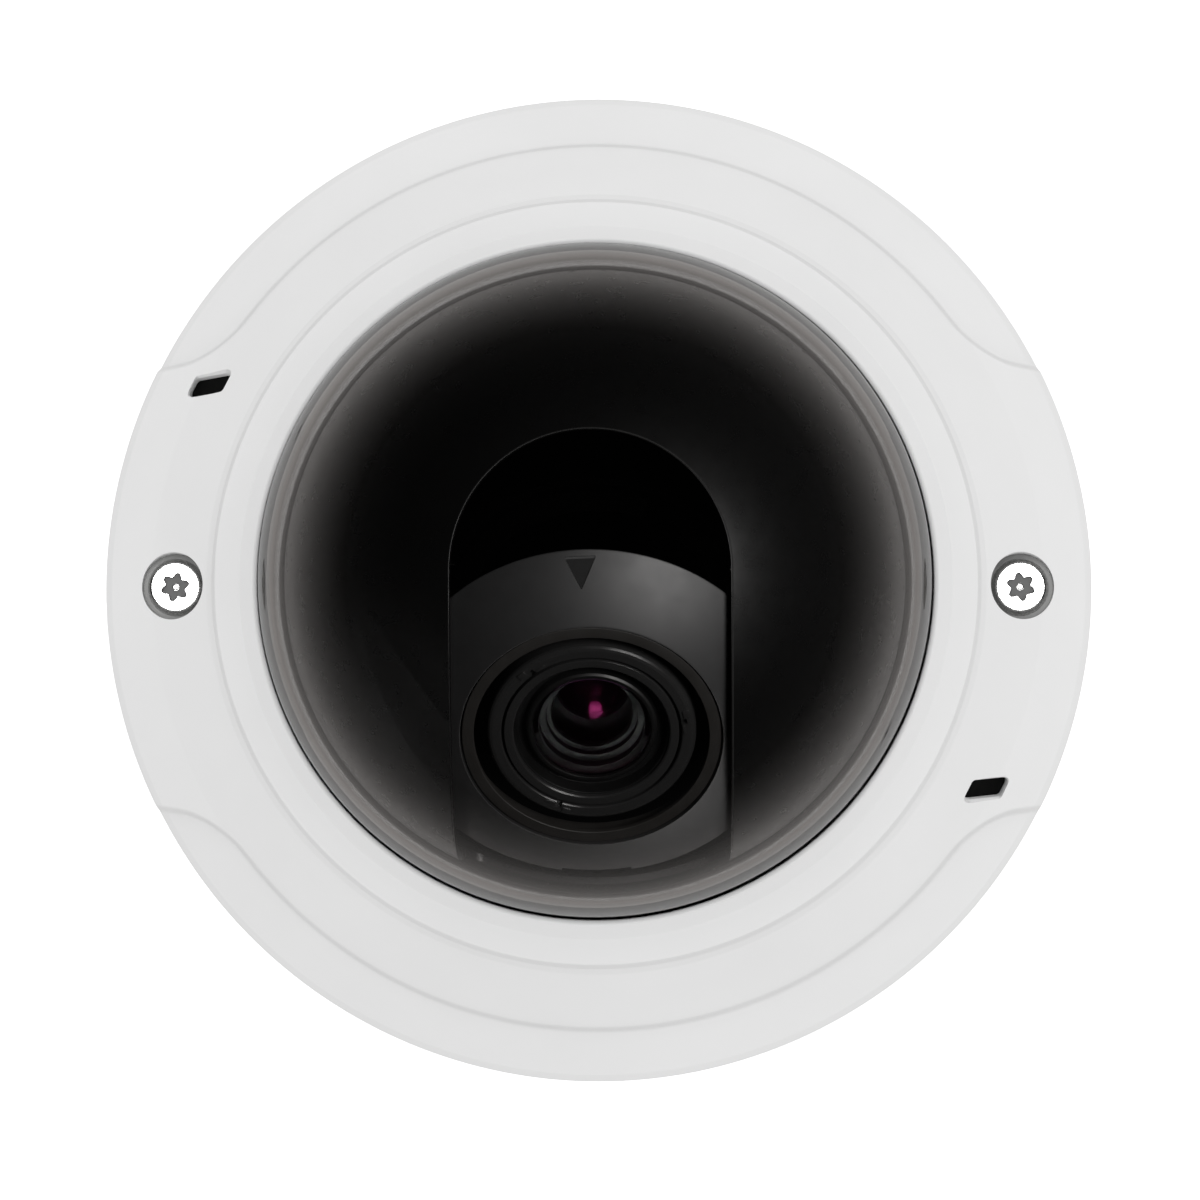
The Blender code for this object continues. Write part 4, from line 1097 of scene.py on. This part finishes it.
def make_connectors(look):
    at = component_frame(63.6, 90)
    jack = block("ethernet_jack_fine", (16, 21, 13.5), (0, 0, 6.75), at, edge=0.4)
    port = block("port", (11.8, 18, 8.2), (0, -3, 7.35), at)
    carved(jack, port, block("key", (6.2, 18, 3.0), (0, -3, 2.75), at))
    stand_in(jack, look.jack)
    contacts = [block("contact", (0.5, 11.0, 0.5), (-4.4 + 1.27 * i, -3.4, 10.6), at) for i in range(8)]
    piece(joined(*contacts, name="ethernet_contacts"), "base", look.gold, "nylon")
    lamps = [block("lamp", (1.8, 0.5, 1.2), (side * 6.6, -10.35, 1.9), at, edge=0.1) for side in (-1, 1)]
    piece(joined(*lamps, name="ethernet_lamps"), "base", look.ceramic, "nylon")

    at = component_frame(62.5, 48)
    block_body = block("io_terminal_block_fine", (8, 16, 9), (0, 0, 4.5), at, edge=0.3)
    rows = [-5.4 + 3.6 * index for index in range(4)]
    entries = [block("entry", (5, 2.4, 2.4), (3.5, y, 3.2), at) for y in rows]
    spots = [at @ upright_at(-0.6, y) for y in rows]
    wells = [rod("well", 1.35, 6.6, 12.0, spot, 32, edge=0) for spot in spots]
    carved(block_body, *entries, *wells)
    stand_in(block_body, look.terminal)
    heads = []
    for spot in spots:
        head = rod("head", 1.2, 6.4, 7.8, spot, 32, edge=0.15)
        heads.append(carved(head, block("cut", (2.6, 0.4, 0.8), (0, 0, 7.8), spot)))
    piece(joined(*heads, name="terminal_screws"), "base", look.zinc, "zinc_steel")

    for name, angle in (("audio_jack_in", 124), ("audio_jack_out", 140)):
        at = component_frame(62.5, angle)
        body = block(name + "_fine", (8.0, 6.4, 5.4), (-0.5, 0, 2.7), at, edge=0.3)
        sideways = at @ moved(0, 0, 2.7) @ Matrix.Rotation(math.pi / 2, 4, "Y")
        fused(body, rod("nose", 2.5, 3.0, 4.5, sideways, 40, edge=0.1))
        carved(body, rod("bore", 1.8, -1.0, 8.0, sideways, 40, edge=0))
        stand_in(body, look.terminal)

    at = component_frame(60.5, 235)
    cage = block("memory_card_slot_fine", (15, 14.6, 2.4), (0, 0, 1.2), at, edge=0.2)
    cuts = [block("pocket", (14, 11.8, 1.3), (1.2, 0, 1.2), at)]
    cuts += [block("window", (3.0, 0.8, 1.2), (-2.0, side * 4.0, 2.3), at) for side in (-1, 0, 1)]
    carved(cage, *cuts)
    stand_in(cage, look.zinc)
    card = block("memory_card_fine", (14.2, 11.0, 0.7), (0, 0, 1.2), component_frame(62.6, 235), edge=0.12)
    stand_in(card, look.chip)

    at = component_frame(62.5, 285)
    switch = block("button_switch_fine", (6.2, 6.2, 4.2), (0, 0, 2.1), at, edge=0.25)
    carved(switch, rod("well", 2.0, 2.0, 6.0, at, 40, edge=0))
    stand_in(switch, look.chip)
    cap = [(0.0, 21.9), (0.9, 21.8), (1.3, 21.7), (1.6, 21.3), (1.6, 18.4), (0.0, 18.4)]
    stand_in(turned("control_button_fine", cap, upright_at(*polar(62.5, 285)), 40, edge=0.1), look.nylon)

    stand_in(block("processor_chip_fine", (24, 24, 1.6), (0, 0, ON_BOARD + 0.8), edge=0.25), look.chip)
    sink = block("heat_sink_fine", (28, 28, 4.3), (0, 0, 19.45), edge=0.15)
    carved(sink, *[block("groove", (3, 30, 3), (x, 0, 20.6)) for x in (-9, -3, 3, 9)])
    stand_in(sink, look.aluminium)


def make_chassis(look):
    profile = [(37.5, 28.0), (37.5, 24.5), (52.8, 24.5), (52.8, 22.0)]
    profile += [(14.0, 22.0), (14.0, 24.5), (35.5, 24.5), (35.5, 28.0)]
    chassis = turned("chassis_plate_fine", profile, steps=160, edge=0.25)
    fused(chassis, *[rod("leg", 5.2, ON_BOARD, 24.1, upright_at(*at), edge=0.3) for at in PILLARS])
    carved(chassis, *holes(PILLARS, 1.8, 12.0, 30.0))
    stand_in(chassis, look.chassis)
    turning = ring_like("pan_ring", steps=160, edge=0.3, inner=38.0)
    tick_at = (51.9, 0, measure("pan_ring").top)
    ticks = [block("tick", (1.2, 0.5, 0.4), tick_at, spun(4 * index)) for index in range(90)]
    carved(turning, *holes([PAN_LOCK_AT], 1.8, 20.0, 35.0), joined(*ticks))
    stand_in(turning, look.chassis)


# ---- scene ----
EYE = Vector((17.0, -41.0, 1208.0))
TARGET = Vector((0.14, -1.65, SKIRT_BOTTOM))
LENS_LENGTH = 201.0


def make_camera():
    camera = bpy.data.objects.new("camera", bpy.data.cameras.new("camera"))
    camera.data.lens = LENS_LENGTH
    camera.data.sensor_width = 36.0
    camera.data.clip_start = 0.05
    camera.data.clip_end = 20.0
    camera.location = EYE * MM
    forward = (TARGET - EYE).normalized()
    right = forward.cross(Vector((0, 1, 0))).normalized()
    up = right.cross(forward)
    camera.rotation_mode = "QUATERNION"
    camera.rotation_quaternion = Matrix((right, up, -forward)).transposed().to_quaternion()
    bpy.context.scene.collection.objects.link(camera)
    bpy.context.scene.camera = camera


SKY_LEVEL = 0.835
SKY_SLANT = (0.07, 0.07, 0.33)  # brighter overhead and toward +X +Y
SKY_STRENGTH = 1.02
MIRRORED_SHADE = 0.45  # how much of the dark room darkens white parts seen as mirror images


def make_world():
    """White all round for the eye and for soft light; gloss sees a dark room above a pale horizon."""
    world = bpy.data.worlds.new("studio")
    bpy.context.scene.world = world
    world.use_nodes = True
    world.cycles.sampling_method = "NONE"
    tree = world.node_tree
    path = add_node(tree, "ShaderNodeLightPath").outputs
    place = add_node(tree, "ShaderNodeTexCoord").outputs["Generated"]
    height = add_node(tree, "ShaderNodeSeparateXYZ", Vector=place).outputs["Z"]
    span = {"From_Min": -0.1, "From_Max": 0.3, "To_Min": 0.02, "To_Max": 0.004}
    dark_room = add_node(tree, "ShaderNodeMapRange", Value=height, **span).outputs["Result"]
    slant = tree.nodes.new("ShaderNodeVectorMath")
    slant.operation = "DOT_PRODUCT"
    fill(tree, slant.inputs[0], place)
    fill(tree, slant.inputs[1], SKY_SLANT)
    sky = maths(tree, "ADD", SKY_LEVEL, slant.outputs["Value"])
    mirrored = maths(tree, "MULTIPLY_ADD", path["Is Diffuse Ray"], MIRRORED_SHADE, path["Is Glossy Ray"])
    reflected = maths(tree, "MULTIPLY", path["Glossy Depth"], mirrored)
    gloss = add_node(tree, "ShaderNodeMix", Factor=reflected, A=sky, B=dark_room).outputs["Result"]
    seen = add_node(tree, "ShaderNodeMix", Factor=path["Is Camera Ray"], A=gloss, B=1.0).outputs["Result"]
    background = tree.nodes["Background"]
    fill(tree, background.inputs["Color"], seen)
    fill(tree, background.inputs["Strength"], SKY_STRENGTH)


PAPER = (0.9, 0.9, 0.9, 1.0)
PAPER_SEEN_BY_SOFT_LIGHT = (0.62, 0.62, 0.62, 1.0)
PAPER_GLOW = 0.55  # lifts the paper to white for the eye
GLOSS_LEVEL = 0.66  # brightness of the paper in gloss, at GLOSS_FROM
GLOSS_FROM = 0.104  # metres from the middle
GLOSS_FADE = 1.6  # power by which it fades


def make_floor():
    """Pale paper that the eye sees evenly lit; in gloss it fades with distance from the object."""
    floor = turned("studio_floor", [(0, 0), (3000, 0), (3000, -5), (0, -5)], steps=64, edge=0)
    paper = Finish("floor_paper", PAPER[:3], 0.9, Specular_IOR_Level=0.0)
    path = paper.node("ShaderNodeLightPath").outputs
    paper.set("Emission Color", (1, 1, 1, 1))
    paper.set("Emission Strength", maths(paper.tree, "MULTIPLY", path["Is Camera Ray"], PAPER_GLOW))
    paper.set("Base Color", paper.blend(path["Is Diffuse Ray"], PAPER, PAPER_SEEN_BY_SOFT_LIGHT))
    length = paper.node("ShaderNodeVectorMath", Vector=paper.place)
    length.operation = "LENGTH"
    near = maths(paper.tree, "DIVIDE", GLOSS_FROM, length.outputs["Value"])
    fade = maths(paper.tree, "POWER", near, GLOSS_FADE)
    glow = maths(paper.tree, "MULTIPLY", fade, GLOSS_LEVEL)
    seen = paper.node("ShaderNodeEmission", Color=(1.0, 0.97, 0.95, 1.0), Strength=glow)
    paper.surface(maths(paper.tree, "MULTIPLY", path["Glossy Depth"], path["Is Glossy Ray"]), seen)
    floor.data.materials.append(paper.material)
    floor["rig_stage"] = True


def area_light(name, at, towards, size, power, pieces):
    """A round lamp that lights only these pieces."""
    lamp = bpy.data.lights.new(name, "AREA")
    lamp.shape = "DISK"
    lamp.size = size * MM
    lamp.energy = power
    light = bpy.data.objects.new(name, lamp)
    light.location = Vector(at) * MM
    light.rotation_mode = "QUATERNION"
    light.rotation_quaternion = (Vector(at) - Vector(towards)).to_track_quat("Z", "Y")
    bpy.context.scene.collection.objects.link(light)
    group = bpy.data.collections.new(name + "_pieces")
    for obj in pieces:
        group.objects.link(obj)
    light.light_linking.receiver_collection = group


def make_lamps():
    area_light("key_inside", from_dome(26, 6, 900), PIVOT, 320, 12.0, inside_lit)
    area_light("low_left", from_dome(97, 216, 640), PIVOT, 440, 1.7, liner_lit)
    area_light("lens_glint", from_dome(48, -88, 700), PIVOT, 85, 2.4, glass_lit)
    area_light("low_front", from_dome(94, -72, 620), PIVOT, 220, 3.5, front_lit)
    area_light("over_metal", (-17, 41, 1300), (0, 0, 30), 460, 12.0, metal_lit)


def from_dome(polar_angle, turn, distance):
    """A place seen from the dome's centre at an angle from +Z, turned from +X, in degrees and millimetres."""
    x, y = polar(distance * math.sin(math.radians(polar_angle)), turn)
    return PIVOT + Vector((x, y, distance * math.cos(math.radians(polar_angle))))


def main():
    look = make_finishes()
    make_cover(look)
    make_vent_guards(look)
    make_bubble(look)
    make_liner(look)
    make_cap(look)
    make_lens_group(look)
    make_focus_ring(look)
    make_cover_screw(-1, "left", look)
    make_cover_screw(1, "right", look)
    make_cover_rings(look)
    make_base(look)
    make_fittings(look)
    make_small_screws(look)
    make_board(look)
    make_connectors(look)
    make_chassis(look)
    slots = {
        "white_paint": look.white, "clear_polycarbonate": look.bubble, "black_plastic": look.black,
        "grey_plastic": look.grey, "black_trim": look.trim, "stainless_steel": look.steel,
        "zinc_steel": look.zinc, "rubber": look.rubber, "nylon": look.nylon, "circuit_board": look.board,
        "epoxy": look.chip, "plain_aluminium": look.aluminium, "coated_glass": look.glass,
        "white_membrane": look.membrane,
    }
    for node, slot in NODE_SLOTS.items():
        materials = frame["nodes"][node].data.materials
        materials.clear()
        materials.append(slots[slot])
    inside = ("lens_trim_ring_fine", "front_retaining_ring_fine", "focus_ring_fine")
    inside_lit.extend(bpy.data.objects[name] for name in inside)
    glass_lit.append(bpy.data.objects["front_lens_fine"])
    front_lit.append(bpy.data.objects["head_cap_fine"])
    make_camera()
    make_lamps()
    make_world()
    make_floor()
    bpy.context.scene.view_settings.view_transform = "Standard"
    [[list(corner) for corner in box] for box in (cad_box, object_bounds())]


main()
